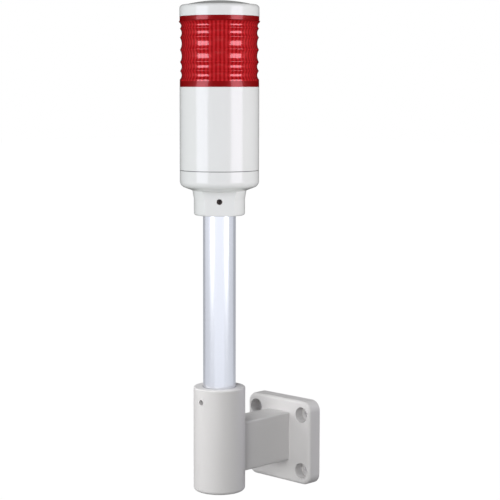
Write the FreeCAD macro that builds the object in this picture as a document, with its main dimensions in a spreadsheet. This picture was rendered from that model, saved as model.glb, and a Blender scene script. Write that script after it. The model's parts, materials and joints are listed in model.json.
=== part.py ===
import FreeCAD, Part
import math
import os
from types import SimpleNamespace

import Sketcher
from FreeCAD import Vector

# A signal tower light for machines: one red lantern on a white housing, carried by an aluminium
# pole that stands in a wall bracket.
#
# Frame: millimetres, +Z up. The origin is the middle of the bracket's back face, which lies
# against the wall; +Y points into the wall and the pole stands in front of it, on -Y.
# Pieces of the head are drawn about the pole's axis, with Z = 0 at the seam between the
# housing and the base.

SIZES = {
    # wall bracket
    "plate_side": 67.0,
    "plate_thickness": 12.0,
    "plate_corner": 8.0,
    "plate_edge_round": 2.5,
    "plate_wall": 4.0,
    "core_depth": 8.0,
    "rib_width": 3.0,
    "boss_radius": 8.5,
    "bolt_pitch_across": 49.0,
    "bolt_pitch_up": 45.0,
    "bolt_hole_radius": 3.1,
    "bolt_head_radius": 6.2,
    "bolt_head_depth": 8.0,
    "reach": 79.0,
    "arm_width": 23.0,
    "arm_height": 39.0,
    "arm_rise": 3.6,
    "arm_wall": 3.5,
    "arm_edge_round": 1.6,
    "socket_radius": 19.9,
    "socket_height": 81.0,
    "socket_top": 51.9,
    "socket_floor": 4.0,
    "socket_foot_round": 2.6,
    "socket_rim_round": 1.0,
    "socket_bevel": 0.8,
    "outlet_radius": 9.0,
    "bracket_screw_drop": 10.2,
    # pole and its grommet
    "pole_radius": 12.5,
    "pole_wall": 1.5,
    "pole_length": 236.2,
    "pole_clearance": 0.05,
    "grommet_length": 8.0,
    "grommet_flange": 1.3,
    "grommet_wall": 2.0,
    # set screws and their threaded inserts
    "screw_radius": 2.0,
    "screw_length": 3.2,
    "screw_gap": 0.03,
    "hex_flats": 2.0,
    "hex_depth": 1.5,
    "screw_cup": 0.5,
    "insert_radius": 3.1,
    "insert_length": 2.8,
    "insert_setback": 0.3,
    "screw_hole_radius": 2.15,
    # base: ring, cone and collar in one moulding
    "head_radius": 30.0,
    "wall": 2.4,
    "base_ring": 12.0,
    "base_corner": 5.0,
    "cone_drop": 3.6,
    "cone_inner_rise": 1.9,
    "collar_flare_radius": 20.5,
    "collar_flare_height": 6.7,
    "collar_radius": 19.4,
    "collar_length": 18.8,
    "collar_edge_round": 1.6,
    "pad_out": 16.0,
    "pad_edge_round": 0.8,
    "head_facing": 45.0,
    "collar_screw_drop": 23.5,
    "tower_wall": 2.6,
    "tower_top": 3.6,
    "tower_roof": 2.4,
    "spigot_height": 6.0,
    "spigot_wall": 2.4,
    "slip": 0.15,
    "post_ring": 20.3,
    "post_radius": 3.4,
    "post_top": 8.0,
    # housing
    "seam_gap": 0.5,
    "gasket_width": 1.4,
    "housing_height": 62.3,
    "deck_depth": 6.2,
    "deck_thickness": 3.0,
    "deck_window": 15.0,
    # lens
    "lens_height": 52.4,
    "lens_radius": 29.9,
    "lens_top_band": 4.0,
    "lens_foot_band": 5.4,
    "lens_lip": 0.6,
    "lens_lip_height": 0.9,
    "lens_peak_radius": 29.7,
    "scallop_depth": 1.3,
    "end_scallop_depth": 1.35,
    "middle_scallop": 9.2,
    "next_scallop": 6.6,
    "foot_scallop": 6.5,
    "lens_bore": 25.8,
    "lens_spigot": 5.0,
    "flute_count": 60,
    "flute_depth": 1.0,
    "flute_land": 0.3,
    "flute_overrun": 0.25,
    "ledge_radius": 24.0,
    "ledge_thickness": 2.6,
    # cap and its bayonet
    "cap_height": 8.8,
    "cap_shoulder": 2.6,
    "cap_top": 2.2,
    "dome_radius": 26.0,
    "dome_rise": 3.2,
    "cap_gap": 0.1,
    "cap_gasket_thickness": 1.2,
    "gasket_rib": 1.2,
    "skirt_wall": 2.0,
    "lug_height": 2.0,
    "lug_reach": 1.5,
    "lug_angle": 24.0,
    "notch_angle": 28.0,
    "notch_overrun": 1.0,
    "twist_angle": 30.0,
    # lamp unit
    "board_thickness": 1.6,
    "lamp_board_radius": 24.4,
    "column_flats": 18.0,
    "column_height": 44.0,
    "strip_width": 9.0,
    "strip_height": 41.0,
    "strip_thickness": 1.0,
    "chip_side": 3.5,
    "chip_height": 1.0,
    "chip_pitch": 9.5,
    "pin_radius": 1.2,
    "pin_ring": 10.5,
    # control unit
    "control_board_radius": 24.2,
    "wire_hole": 7.5,
    "tie_screw_radius": 1.5,
    "tie_insert_radius": 2.4,
    "tie_insert_length": 6.0,
    "tie_head_radius": 2.75,
    "tie_head_height": 2.0,
    "tie_bite": 5.0,
    "tie_clearance": 0.2,
    "board_screw_radius": 1.2,
    "board_screw_head": 2.3,
    "board_screw_bite": 5.0,
    "terminal_length": 14.4,
    "terminal_width": 8.0,
    "terminal_height": 9.0,
    "terminal_pitch": 3.5,
    "terminal_out": 9.0,
    "terminal_mouth": 2.2,
    "terminal_screw_radius": 1.2,
    "terminal_well": 4.5,
    "slot_length": 2.6,
    "slot_width": 0.6,
    "case_bevel": 0.4,
    "relay_width": 7.0,
    "relay_length": 9.0,
    "relay_height": 12.0,
    "relay_out": 10.9,
    "capacitor_radius": 3.4,
    "capacitor_height": 12.5,
    "capacitor_out": 15.4,
    "capacitor_apart": 7.4,
    "chip_body_length": 9.6,
    "chip_body_width": 5.6,
    "chip_body_height": 3.2,
    "chip_lift": 0.8,
    "chip_out": 15.5,
    "leg_width": 0.6,
}

TIES = 3
TERMINALS = 4
SIDES = 6
CHIP_ROWS = 4
LEGS = 4
TIE_BEARING = 0
BOARD_BEARING = 180 / TIES
FLOOR = 0.01

doc = FreeCAD.newDocument("signal_tower_light")
sheet = doc.addObject("Spreadsheet::Sheet", "Sizes")
worked = doc.addObject("Spreadsheet::Sheet", "Worked")
kept = []


class Dim:
    """A length that keeps its number together with the sheet expression it comes from."""

    def __init__(self, number, text):
        self.number = float(number)
        self.text = text

    def _join(self, other, sign, number, turned=False):
        other = dim(other)
        left, right = (other, self) if turned else (self, other)
        return Dim(number(left.number, right.number), f"({left.text} {sign} {right.text})")

    def __add__(self, other):
        return self._join(other, "+", lambda a, b: a + b)

    def __radd__(self, other):
        return self._join(other, "+", lambda a, b: a + b, turned=True)

    def __sub__(self, other):
        return self._join(other, "-", lambda a, b: a - b)

    def __rsub__(self, other):
        return self._join(other, "-", lambda a, b: a - b, turned=True)

    def __mul__(self, other):
        return self._join(other, "*", lambda a, b: a * b)

    def __rmul__(self, other):
        return self._join(other, "*", lambda a, b: a * b, turned=True)

    def __truediv__(self, other):
        return self._join(other, "/", lambda a, b: a / b)

    def __rtruediv__(self, other):
        return self._join(other, "/", lambda a, b: a / b, turned=True)

    def __neg__(self):
        return 0 - self


def root(value):
    """The square root of a Dim."""
    return Dim(math.sqrt(value.number), f"sqrt({value.text})")


def keep(name, value):
    """Write a worked-out value to its own cell, so that what uses it names it."""
    row = len(kept) + 1
    kept.append(name)
    worked.set(f"A{row}", name)
    worked.set(f"B{row}", f"={value.text}")
    worked.setAlias(f"B{row}", name)
    return Dim(value.number, f"Worked.{name}")


def dim(value):
    """A plain number as a Dim; a Dim as it is."""
    if isinstance(value, Dim):
        return value
    return Dim(value, f"{float(value):.9g}")


def fill_sheet():
    """Write every driving size to its own cell and give back the Dims by name."""
    dims = {}
    for row, (name, number) in enumerate(SIZES.items(), start=1):
        sheet.set(f"A{row}", name)
        sheet.set(f"B{row}", str(number))
        sheet.setAlias(f"B{row}", name)
        dims[name] = Dim(number, f"Sizes.{name}")
    doc.recompute()
    return SimpleNamespace(**dims)


S = fill_sheet()


# ---------------------------------------------------------------- drawing helpers


def bind(thing, prop, value):
    """Tie a property of an object to the sheet."""
    thing.setExpression(prop, dim(value).text)


def new_body(name):
    """A sub-part whose label is the name of its file."""
    body = doc.addObject("PartDesign::Body", name)
    body.Label = name
    body.AllowCompound = True
    return body


def origin_item(body, role):
    """One of the body's own origin planes or axes."""
    return next(item for item in body.Origin.OriginFeatures if item.Role == role)


def new_sketch(body, name, role="XZ_Plane", lift=None):
    """A sketch on one of the body's origin planes, moved along the plane's normal by lift."""
    sketch = body.newObject("Sketcher::SketchObject", name)
    sketch.AttachmentSupport = (origin_item(body, role), [""])
    sketch.MapMode = "FlatFace"
    if lift is not None:
        bind(sketch, "AttachmentOffset.Base.z", lift)
    return sketch


def fix_point(sketch, geometry, end, x, y):
    """Hold a sketch point at (x, y), measured from the sketch's origin."""
    for kind, axis, value in (("DistanceX", -2, dim(x)), ("DistanceY", -1, dim(y))):
        if value.text == "0":
            sketch.addConstraint(Sketcher.Constraint("PointOnObject", geometry, end, axis))
        else:
            index = sketch.addConstraint(
                Sketcher.Constraint(kind, -1, 1, geometry, end, value.number)
            )
            sketch.setExpression(f"Constraints[{index}]", value.text)


def near_end(sketch, geometry, point):
    """Which end of a line or arc, 1 or 2, lies at the point."""
    gaps = [(sketch.getPoint(geometry, end) - point).Length for end in (1, 2)]
    return 1 if gaps[0] < gaps[1] else 2


def draw_outline(sketch, corners):
    """Close an outline through the corners.

    A third value is the radius of an arc on the edge that leaves a corner; the arc bows to the
    edge's left, or to its right if the value is negative.
    """
    points = [Vector(dim(c[0]).number, dim(c[1]).number, 0) for c in corners]
    first = sketch.GeometryCount
    count = len(corners)
    edges = []
    for i, corner in enumerate(corners):
        start, stop = points[i], points[(i + 1) % count]
        if len(corner) == 3:
            radius = corner[2].number
            along = stop - start
            bow = abs(radius) - math.sqrt(radius**2 - along.Length**2 / 4)
            side = Vector(-along.y, along.x, 0).normalize() * math.copysign(bow, radius)
            edges.append(Part.Arc(start, (start + stop) * 0.5 + side, stop))
        else:
            edges.append(Part.LineSegment(start, stop))
    sketch.addGeometry(edges, False)
    for i, corner in enumerate(corners):
        here, after = first + i, first + (i + 1) % count
        meeting = points[(i + 1) % count]
        ends = near_end(sketch, here, meeting), near_end(sketch, after, meeting)
        sketch.addConstraint(Sketcher.Constraint("Coincident", here, ends[0], after, ends[1]))
        if len(corner) == 3:
            radius = corner[2] if corner[2].number > 0 else -corner[2]
            index = sketch.addConstraint(Sketcher.Constraint("Radius", here, radius.number))
            sketch.setExpression(f"Constraints[{index}]", radius.text)
    for i, corner in enumerate(corners):
        fix_point(sketch, first + i, near_end(sketch, first + i, points[i]), corner[0], corner[1])


def bow_radius(start, stop, bow):
    """The radius of the arc between two points that stands off their chord by bow."""
    width, rise = stop[0] - start[0], stop[1] - start[1]
    return ((width * width + rise * rise) / 4 + bow * bow) / (2 * bow)


def rounded(before, corner, after, radius, name, turn=-1):
    """A corner replaced by an arc: where the arc leaves the first edge and meets the second."""
    runs = []
    for point in (before, after):
        width, rise = point[0] - corner[0], point[1] - corner[1]
        runs.append((width, rise, root(width * width + rise * rise)))
    (ax, ay, a), (bx, by, b) = runs
    cosine = keep(f"{name}_cosine", (ax * bx + ay * by) / (a * b))
    reach = keep(f"{name}_reach", radius * root((1 + cosine) / (1 - cosine)))
    return [
        (corner[0] + ax * reach / a, corner[1] + ay * reach / a, turn * radius),
        (corner[0] + bx * reach / b, corner[1] + by * reach / b),
    ]


def draw_box(sketch, x, y, width, height):
    """A rectangle about (x, y)."""
    left, right = x - width / 2, x + width / 2
    low, high = y - height / 2, y + height / 2
    draw_outline(sketch, [(left, low), (right, low), (right, high), (left, high)])


def draw_circle(sketch, x, y, radius):
    """A circle about (x, y)."""
    x, y, radius = dim(x), dim(y), dim(radius)
    index = sketch.addGeometry(
        Part.Circle(Vector(x.number, y.number, 0), Vector(0, 0, 1), radius.number), False
    )
    fix_point(sketch, index, 3, x, y)
    held = sketch.addConstraint(Sketcher.Constraint("Radius", index, radius.number))
    sketch.setExpression(f"Constraints[{held}]", radius.text)


def revolve(body, sketch, name, kind="Revolution"):
    """Turn a half section about the sketch's vertical axis, adding or, as a Groove, cutting."""
    feature = body.newObject(f"PartDesign::{kind}", name)
    feature.Profile = sketch
    feature.ReferenceAxis = (sketch, ["V_Axis"])
    feature.Angle = 360.0
    sketch.Visibility = False
    return feature


def extrude(body, sketch, name, length, kind="Pad", back=False, both=False):
    """Pad or pocket a sketch by a length from the sheet."""
    feature = body.newObject(f"PartDesign::{kind}", name)
    feature.Profile = sketch
    bind(feature, "Length", length)
    feature.Reversed = back
    feature.Midplane = both
    sketch.Visibility = False
    return feature


def around(body, feature, name, count):
    """Repeat a feature evenly about the body's Z axis; the pattern becomes the body's tip."""
    pattern = body.newObject("PartDesign::PolarPattern", name)
    pattern.Originals = [feature]
    pattern.Axis = (origin_item(body, "Z_Axis"), [""])
    pattern.Angle = 360.0
    if isinstance(count, Dim):
        bind(pattern, "Occurrences", count)
    else:
        pattern.Occurrences = count
    body.Tip = pattern
    return pattern


def spread(count, pitch):
    """Places of a row of things, evenly apart and centred on zero."""
    return [(k - (count - 1) / 2) * pitch for k in range(count)]


def edges_where(feature, test):
    """Names of the edges of a feature's shape that pass a test."""
    doc.recompute()
    return [
        f"Edge{i}"
        for i, edge in enumerate(feature.Shape.Edges, start=1)
        if not edge.Degenerated and test(edge)
    ]


def round_edges(body, feature, name, edges, radius):
    """Fillet the named edges of the last feature."""
    fillet = body.newObject("PartDesign::Fillet", name)
    fillet.Base = (feature, edges)
    bind(fillet, "Radius", radius)
    return fillet


def place(thing, level, facing=0.0):
    """Stand a sub-part on the pole's axis at a level, turned about that axis."""
    thing.Placement.Rotation = FreeCAD.Rotation(Vector(0, 0, 1), facing)
    bind(thing, "Placement.Base.y", -S.reach)
    bind(thing, "Placement.Base.z", level)


def place_in_head(thing, level=0):
    """Stand a piece of the head at a height above the seam; its own -Y is the head's front."""
    place(thing, seam_level + level, SIZES["head_facing"])


# ---------------------------------------------------------------- levels that pieces share

bore_radius = keep("bore_radius", S.pole_radius + S.pole_clearance)
inner_radius = keep("inner_radius", S.head_radius - S.wall)
spigot_radius = keep("spigot_radius", inner_radius - S.slip)
spigot_bore = keep("spigot_bore", spigot_radius - S.spigot_wall)
skirt_radius = keep("skirt_radius", S.ledge_radius - 2 * S.slip)
lug_tip = keep("lug_tip", skirt_radius + S.lug_reach)

# levels of the bracket and pole
socket_foot = keep("socket_foot", S.socket_top - S.socket_height)
pole_foot = keep("pole_foot", socket_foot + S.socket_floor)
pole_head = keep("pole_head", pole_foot + S.pole_length)

# levels in the head, from the seam between housing and base
cone_start = keep("cone_start", -S.base_ring)
collar_start = keep("collar_start", cone_start - S.cone_drop)
collar_foot = keep("collar_foot", collar_start - S.collar_length)
pole_stop = keep("pole_stop", -S.tower_top - S.tower_roof)
lens_crown = keep("lens_crown", S.housing_height + S.lens_height)
deck_top = keep("deck_top", S.housing_height - S.deck_depth)
deck_foot = keep("deck_foot", deck_top - S.deck_thickness)
lamp_face = keep("lamp_face", deck_top + S.board_thickness)
control_face = keep("control_face", S.post_top + S.board_thickness)

seam_level = keep("seam_level", pole_head + S.grommet_flange + 2 * S.pole_clearance - pole_stop)


# ---------------------------------------------------------------- wall bracket


def draw_bolt_circles(sketch, radius):
    """A circle about each of the plate's four bolts."""
    for across in (-1, 1):
        for up in (-1, 1):
            draw_circle(
                sketch, across * S.bolt_pitch_across / 2, up * S.bolt_pitch_up / 2, radius
            )


def make_bracket():
    """Plate, hollow arm and socket tube, moulded as one piece."""
    body = new_body("bracket")
    half = S.plate_side / 2

    tube = new_sketch(body, "socket_circle", "XY_Plane", socket_foot)
    draw_circle(tube, 0, -S.reach, S.socket_radius)
    extrude(body, tube, "socket_tube", S.socket_height)

    arm = new_sketch(body, "arm_section", "XZ_Plane")
    draw_box(arm, dim(0), S.arm_rise, S.arm_width, S.arm_height)
    arm_pad = extrude(body, arm, "arm", S.reach - S.pole_radius - S.plate_wall)
    long_edges = edges_where(
        arm_pad,
        lambda e: isinstance(e.Curve, Part.Line)
        and abs(abs(e.CenterOfMass.x) - SIZES["arm_width"] / 2) < FLOOR
        and abs(abs(e.tangentAt(e.FirstParameter).y) - 1) < FLOOR,
    )
    arm_round = round_edges(body, arm_pad, "arm_edges", long_edges, S.arm_edge_round)

    plate = new_sketch(body, "plate_outline", "XZ_Plane")
    draw_box(plate, dim(0), dim(0), S.plate_side, S.plate_side)
    plate_pad = extrude(body, plate, "plate", S.plate_thickness)
    corner_edges = edges_where(
        plate_pad,
        lambda e: isinstance(e.Curve, Part.Line)
        and abs(abs(e.CenterOfMass.x) - half.number) < FLOOR
        and abs(abs(e.CenterOfMass.z) - half.number) < FLOOR,
    )
    corners = round_edges(body, plate_pad, "plate_corners", corner_edges, S.plate_corner)
    face_y = -SIZES["plate_thickness"]
    front_edges = edges_where(
        corners,
        lambda e: abs(e.BoundBox.YMin - face_y) < FLOOR
        and abs(e.BoundBox.YMax - face_y) < FLOOR
        and max(abs(e.CenterOfMass.x), abs(e.CenterOfMass.z)) > half.number - SIZES["plate_corner"],
    )
    front = round_edges(body, corners, "plate_front_edge", front_edges, S.plate_edge_round)

    def on_tube(feature, level):
        return edges_where(
            feature,
            lambda e: isinstance(e.Curve, Part.Circle)
            and abs(e.Curve.Radius - SIZES["socket_radius"]) < FLOOR
            and abs(e.BoundBox.ZMin - level.number) < FLOOR
            and abs(e.BoundBox.ZMax - level.number) < FLOOR,
        )

    foot = round_edges(body, front, "socket_foot", on_tube(front, socket_foot), S.socket_foot_round)
    round_edges(body, foot, "socket_rim", on_tube(foot, S.socket_top), S.socket_rim_round)

    # the back is cored out between the rim, the ribs and the bolt bosses
    hollow = new_sketch(body, "back_hollow", "XZ_Plane")
    side = S.plate_side - 2 * S.plate_wall
    draw_box(hollow, dim(0), dim(0), side, side)
    extrude(body, hollow, "back_core", S.core_depth, kind="Pocket", back=True)
    for name, width, height in (
        ("arm_root", S.arm_width, S.arm_height),
        ("rib_across", side, S.rib_width),
        ("rib_upright", S.rib_width, side),
    ):
        web = new_sketch(body, f"{name}_section", "XZ_Plane")
        middle = S.arm_rise if name == "arm_root" else dim(0)
        draw_box(web, dim(0), middle, width, height)
        extrude(body, web, name, S.core_depth)
    bosses = new_sketch(body, "boss_circles", "XZ_Plane")
    draw_bolt_circles(bosses, S.boss_radius)
    extrude(body, bosses, "bolt_bosses", S.core_depth)
    arm_core = new_sketch(body, "arm_core_section", "XZ_Plane")
    draw_box(
        arm_core,
        dim(0),
        S.arm_rise,
        S.arm_width - 2 * S.arm_wall,
        S.arm_height - 2 * S.arm_wall,
    )
    depth = S.reach - S.socket_radius - S.arm_wall
    extrude(body, arm_core, "arm_core", depth, kind="Pocket", back=True)

    # bolt holes with sunk seats for the heads
    holes = new_sketch(body, "bolt_circles", "XZ_Plane")
    seats = new_sketch(body, "bolt_seat_circles", "XZ_Plane", S.plate_thickness)
    draw_bolt_circles(holes, S.bolt_hole_radius)
    draw_bolt_circles(seats, S.bolt_head_radius)
    extrude(body, holes, "bolt_holes", S.plate_thickness, kind="Pocket", back=True)
    extrude(body, seats, "bolt_seats", S.bolt_head_depth, kind="Pocket")

    # the socket: a bore down to the floor, a bevel at its mouth and the cable outlet below
    mouth = new_sketch(body, "socket_bore_circle", "XY_Plane", S.socket_top)
    draw_circle(mouth, 0, -S.reach, bore_radius)
    bore_pocket = extrude(
        body, mouth, "socket_bore", S.socket_height - S.socket_floor, kind="Pocket"
    )
    mouth_edge = edges_where(
        bore_pocket,
        lambda e: isinstance(e.Curve, Part.Circle)
        and abs(e.Curve.Radius - bore_radius.number) < FLOOR
        and abs(e.BoundBox.ZMin - SIZES["socket_top"]) < FLOOR,
    )
    bevel = body.newObject("PartDesign::Chamfer", "socket_bevel")
    bevel.Base = (bore_pocket, mouth_edge)
    bind(bevel, "Size", S.socket_bevel)
    outlet = new_sketch(body, "outlet_circle", "XY_Plane", pole_foot)
    draw_circle(outlet, 0, -S.reach, S.outlet_radius)
    extrude(body, outlet, "cable_outlet", S.socket_floor, kind="Pocket")

    # the set screw's way in, and the wider seat of its insert from inside the bore
    screw_level = S.socket_top - S.bracket_screw_drop
    way = new_sketch(body, "screw_way_circle", "XZ_Plane", S.reach)
    draw_circle(way, 0, screw_level, S.screw_hole_radius)
    extrude(body, way, "screw_way", S.socket_radius, kind="Pocket", back=True)
    seat = new_sketch(body, "insert_seat_circle", "XZ_Plane", S.reach)
    draw_circle(seat, 0, screw_level, S.insert_radius)
    seat_depth = bore_radius + S.insert_setback + S.insert_length
    extrude(body, seat, "insert_seat", seat_depth, kind="Pocket", back=True)
    return body


# ---------------------------------------------------------------- set screws and inserts


def make_insert(name):
    """A round brass insert, drawn about Z with its inner end at Z = 0."""
    body = new_body(name)
    ring = new_sketch(body, f"{name}_circles", "XY_Plane")
    draw_circle(ring, 0, 0, S.insert_radius)
    draw_circle(ring, 0, 0, S.screw_radius)
    extrude(body, ring, f"{name}_sleeve", S.insert_length)
    return body


def hexagon_corners(flats):
    """Corners of a hexagon with a flat facing +X."""
    across = flats / math.sqrt(3)
    bearings = [math.pi * (2 * k + 1) / SIDES for k in range(SIDES)]
    return [(across * math.cos(b), across * math.sin(b)) for b in bearings]


def make_set_screw(name):
    """A headless screw with a bevelled tip at Z = 0 and a hexagon socket in its outer end."""
    body = new_body(name)
    section = new_sketch(body, f"{name}_section")
    draw_outline(
        section,
        [
            (0, 0),
            (S.screw_radius - S.screw_cup, 0),
            (S.screw_radius, S.screw_cup),
            (S.screw_radius, S.screw_length),
            (0, S.screw_length),
        ],
    )
    revolve(body, section, f"{name}_shank")
    socket = new_sketch(body, f"{name}_hexagon", "XY_Plane", S.screw_length)
    draw_outline(socket, hexagon_corners(S.hex_flats))
    extrude(body, socket, f"{name}_socket", S.hex_depth, kind="Pocket")
    return body


def point_outward(thing, bearing, level, out):
    """Lay a piece that was drawn about Z on a level line out of the pole's axis."""
    angle = math.radians(bearing)
    outward = Vector(math.cos(angle), math.sin(angle), 0)
    thing.Placement.Rotation = FreeCAD.Rotation(Vector(0, 0, 1), outward)
    bind(thing, "Placement.Base.x", out * outward.x)
    bind(thing, "Placement.Base.y", out * outward.y - S.reach)
    bind(thing, "Placement.Base.z", level)


# ---------------------------------------------------------------- pole


def make_pole():
    """Drawn aluminium tube."""
    body = new_body("pole")
    ring = new_sketch(body, "pole_circles", "XY_Plane")
    draw_circle(ring, 0, 0, S.pole_radius)
    draw_circle(ring, 0, 0, S.pole_radius - S.pole_wall)
    extrude(body, ring, "pole_tube", S.pole_length)
    place(body, pole_foot)
    return body


def make_grommet():
    """Rubber collar in the pole's upper end, which keeps the sawn edge off the wires."""
    body = new_body("pole_grommet")
    section = new_sketch(body, "grommet_section")
    outer = S.pole_radius - S.pole_wall
    inner = outer - S.grommet_wall
    draw_outline(
        section,
        [
            (inner, -S.grommet_length),
            (outer, -S.grommet_length),
            (outer, 0),
            (S.pole_radius - S.pole_clearance, 0),
            (S.pole_radius - S.pole_clearance, S.grommet_flange),
            (inner, S.grommet_flange),
        ],
    )
    revolve(body, section, "grommet_ring")
    place(body, pole_head)
    return body


# ---------------------------------------------------------------- base


def make_base():
    """Ring, cone and collar with the inner tower that grips the pole, and six posts."""
    body = new_body("base")
    section = new_sketch(body, "base_section")
    tower_radius = bore_radius + S.tower_wall
    floor_level = collar_start + S.wall
    foot_round = rounded(
        (bore_radius, collar_foot),
        (S.collar_radius, collar_foot),
        (S.collar_radius, collar_start),
        S.collar_edge_round,
        "collar_foot_round",
    )
    ring_round = rounded(
        (S.collar_flare_radius, collar_start),
        (S.head_radius, cone_start),
        (S.head_radius, dim(0)),
        S.base_corner,
        "base_corner_round",
    )
    draw_outline(
        section,
        [(bore_radius, collar_foot)]
        + foot_round
        + [
            (S.collar_radius, collar_start - S.collar_flare_height),
            (S.collar_flare_radius, collar_start),
        ]
        + ring_round
        + [
            (S.head_radius, -S.seam_gap),
            (spigot_radius, -S.seam_gap),
            (spigot_radius, S.spigot_height),
            (spigot_bore, S.spigot_height),
            (spigot_bore, cone_start + S.cone_inner_rise),
            (S.collar_radius, floor_level),
            (tower_radius, floor_level),
            (tower_radius, -S.tower_top),
            (S.outlet_radius, -S.tower_top),
            (S.outlet_radius, pole_stop),
            (bore_radius, pole_stop),
        ],
    )
    revolve(body, section, "base_shell")

    # the flat pad in front, where the set screw goes in
    pad_face = new_sketch(body, "pad_face_section", "XZ_Plane", S.pad_out)
    pad_height = collar_start - collar_foot
    draw_box(
        pad_face, dim(0), (collar_start + collar_foot) / 2, 2 * S.collar_flare_radius, pad_height
    )
    flat = extrude(body, pad_face, "pad_face", S.head_radius, kind="Pocket", back=True)
    face_y = -SIZES["pad_out"]
    sides = edges_where(
        flat,
        lambda e: abs(e.BoundBox.YMin - face_y) < FLOOR
        and abs(e.BoundBox.YMax - face_y) < FLOOR
        and e.BoundBox.ZMax < collar_start.number - FLOOR,
    )
    round_edges(body, flat, "pad_edges", sides, S.pad_edge_round)

    post = new_sketch(body, "post_circle", "XY_Plane", floor_level - S.wall / 2)
    draw_circle(post, S.post_ring, 0, S.post_radius)
    height = S.post_top - floor_level + S.wall / 2
    pad = extrude(body, post, "post", height)
    posts = around(body, pad, "posts", 2 * TIES)

    # holes in the post tops, alternately for the inserts of the tie screws and for board screws
    for name, radius, depth, bearing in (
        ("tie_seat", S.tie_insert_radius, S.tie_insert_length, TIE_BEARING),
        ("board_seat", S.board_screw_radius, S.board_screw_bite, BOARD_BEARING),
    ):
        hole = new_sketch(body, f"{name}_circle", "XY_Plane", S.post_top)
        draw_circle(
            hole,
            S.post_ring * math.cos(math.radians(bearing)),
            S.post_ring * math.sin(math.radians(bearing)),
            radius,
        )
        pocket = extrude(body, hole, name, depth, kind="Pocket")
        posts = around(body, pocket, f"{name}s", TIES)

    # the set screw's way in, and the wider seat of its insert from inside the bore
    screw_level = -S.collar_screw_drop
    for name, radius, depth in (
        ("screw_way", S.screw_hole_radius, S.head_radius),
        ("insert_seat", S.insert_radius, bore_radius + S.insert_setback + S.insert_length),
    ):
        hole = new_sketch(body, f"{name}_circle", "XZ_Plane")
        draw_circle(hole, 0, screw_level, radius)
        extrude(body, hole, name, depth, kind="Pocket", back=True)
    place_in_head(body)
    return body


# ---------------------------------------------------------------- gaskets


def make_gasket(name, inner, outer, thickness, level):
    """A flat rubber ring."""
    body = new_body(name)
    ring = new_sketch(body, f"{name}_circles", "XY_Plane")
    draw_circle(ring, 0, 0, outer)
    draw_circle(ring, 0, 0, inner)
    extrude(body, ring, f"{name}_ring", thickness)
    place_in_head(body, level)
    return body


# ---------------------------------------------------------------- housing


def make_housing():
    """White shell with a deck near its top, which carries the lamp unit."""
    body = new_body("housing")
    section = new_sketch(body, "housing_section")
    draw_outline(
        section,
        [
            (inner_radius, 0),
            (S.head_radius, 0),
            (S.head_radius, S.housing_height),
            (inner_radius, S.housing_height),
            (inner_radius, deck_top),
            (S.deck_window, deck_top),
            (S.deck_window, deck_foot),
            (inner_radius, deck_foot),
        ],
    )
    revolve(body, section, "housing_shell")
    hole = new_sketch(body, "tie_way_circle", "XY_Plane", deck_top)
    draw_circle(hole, S.post_ring, 0, S.tie_screw_radius + S.tie_clearance)
    pocket = extrude(body, hole, "tie_way", S.deck_thickness, kind="Pocket")
    around(body, pocket, "tie_ways", TIES)
    place_in_head(body)
    return body


# ---------------------------------------------------------------- lens


def make_lens():
    """Red lantern: scalloped rings outside, upright prism flutes inside, bayonet ledge on top."""
    body = new_body("lens")
    top = S.lens_height
    crown = keep("lens_ring_crown", top - S.lens_top_band)

    # the rings' edges from the foot band up to the lip, each with the hollow above it
    peaks = [(S.lens_radius, S.lens_foot_band)]
    level = S.lens_foot_band
    for step in (
        S.foot_scallop,
        S.next_scallop,
        S.middle_scallop,
        S.middle_scallop,
        S.next_scallop,
    ):
        level = level + step
        peaks.append((S.lens_peak_radius, level))
    peaks.append((S.lens_radius + S.lens_lip, crown))
    rings = []
    for start, stop in zip(peaks, peaks[1:]):
        at_end = start is peaks[0] or stop is peaks[-1]
        depth = S.end_scallop_depth if at_end else S.scallop_depth
        rings.append((*start, bow_radius(start, stop, depth)))

    section = new_sketch(body, "lens_section")
    draw_outline(
        section,
        [
            (S.lens_bore, -S.lens_spigot),
            (spigot_radius, -S.lens_spigot),
            (spigot_radius, 0),
            (S.lens_radius, 0),
        ]
        + rings
        + [
            peaks[-1],
            (S.lens_radius + S.lens_lip, crown + S.lens_lip_height / 2),
            (S.lens_radius, crown + S.lens_lip_height),
            (S.lens_radius, top),
            (S.ledge_radius, top),
            (S.ledge_radius, top - S.ledge_thickness),
            (S.lens_bore, top - S.ledge_thickness),
        ],
    )
    revolve(body, section, "lens_shell")

    # one upright V flute, cut outward from the bore, then repeated right round
    flute_foot = S.lens_foot_band / 2
    pitch = 2 * math.pi / S.flute_count
    half_width = (pitch * S.lens_bore - S.flute_land) / 2
    flute = new_sketch(body, "flute_section", "XY_Plane", flute_foot)
    inside = S.lens_bore - S.flute_overrun
    draw_outline(
        flute,
        [(inside, -half_width), (S.lens_bore + S.flute_depth, 0), (inside, half_width)],
    )
    cut = extrude(body, flute, "flute", crown - flute_foot, kind="Pocket", back=True)
    around(body, cut, "flutes", S.flute_count)

    # entry notches for the cap's lugs, through the ledge
    notch = new_sketch(body, "notch_section", "XY_Plane", top)
    inner = S.ledge_radius - S.notch_overrun
    draw_sector(notch, inner, lug_tip + S.slip, S.twist_angle, S.notch_angle)
    entry = extrude(body, notch, "notch", S.ledge_thickness, kind="Pocket")
    around(body, entry, "notches", TIES)
    place_in_head(body, S.housing_height)
    return body


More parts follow.
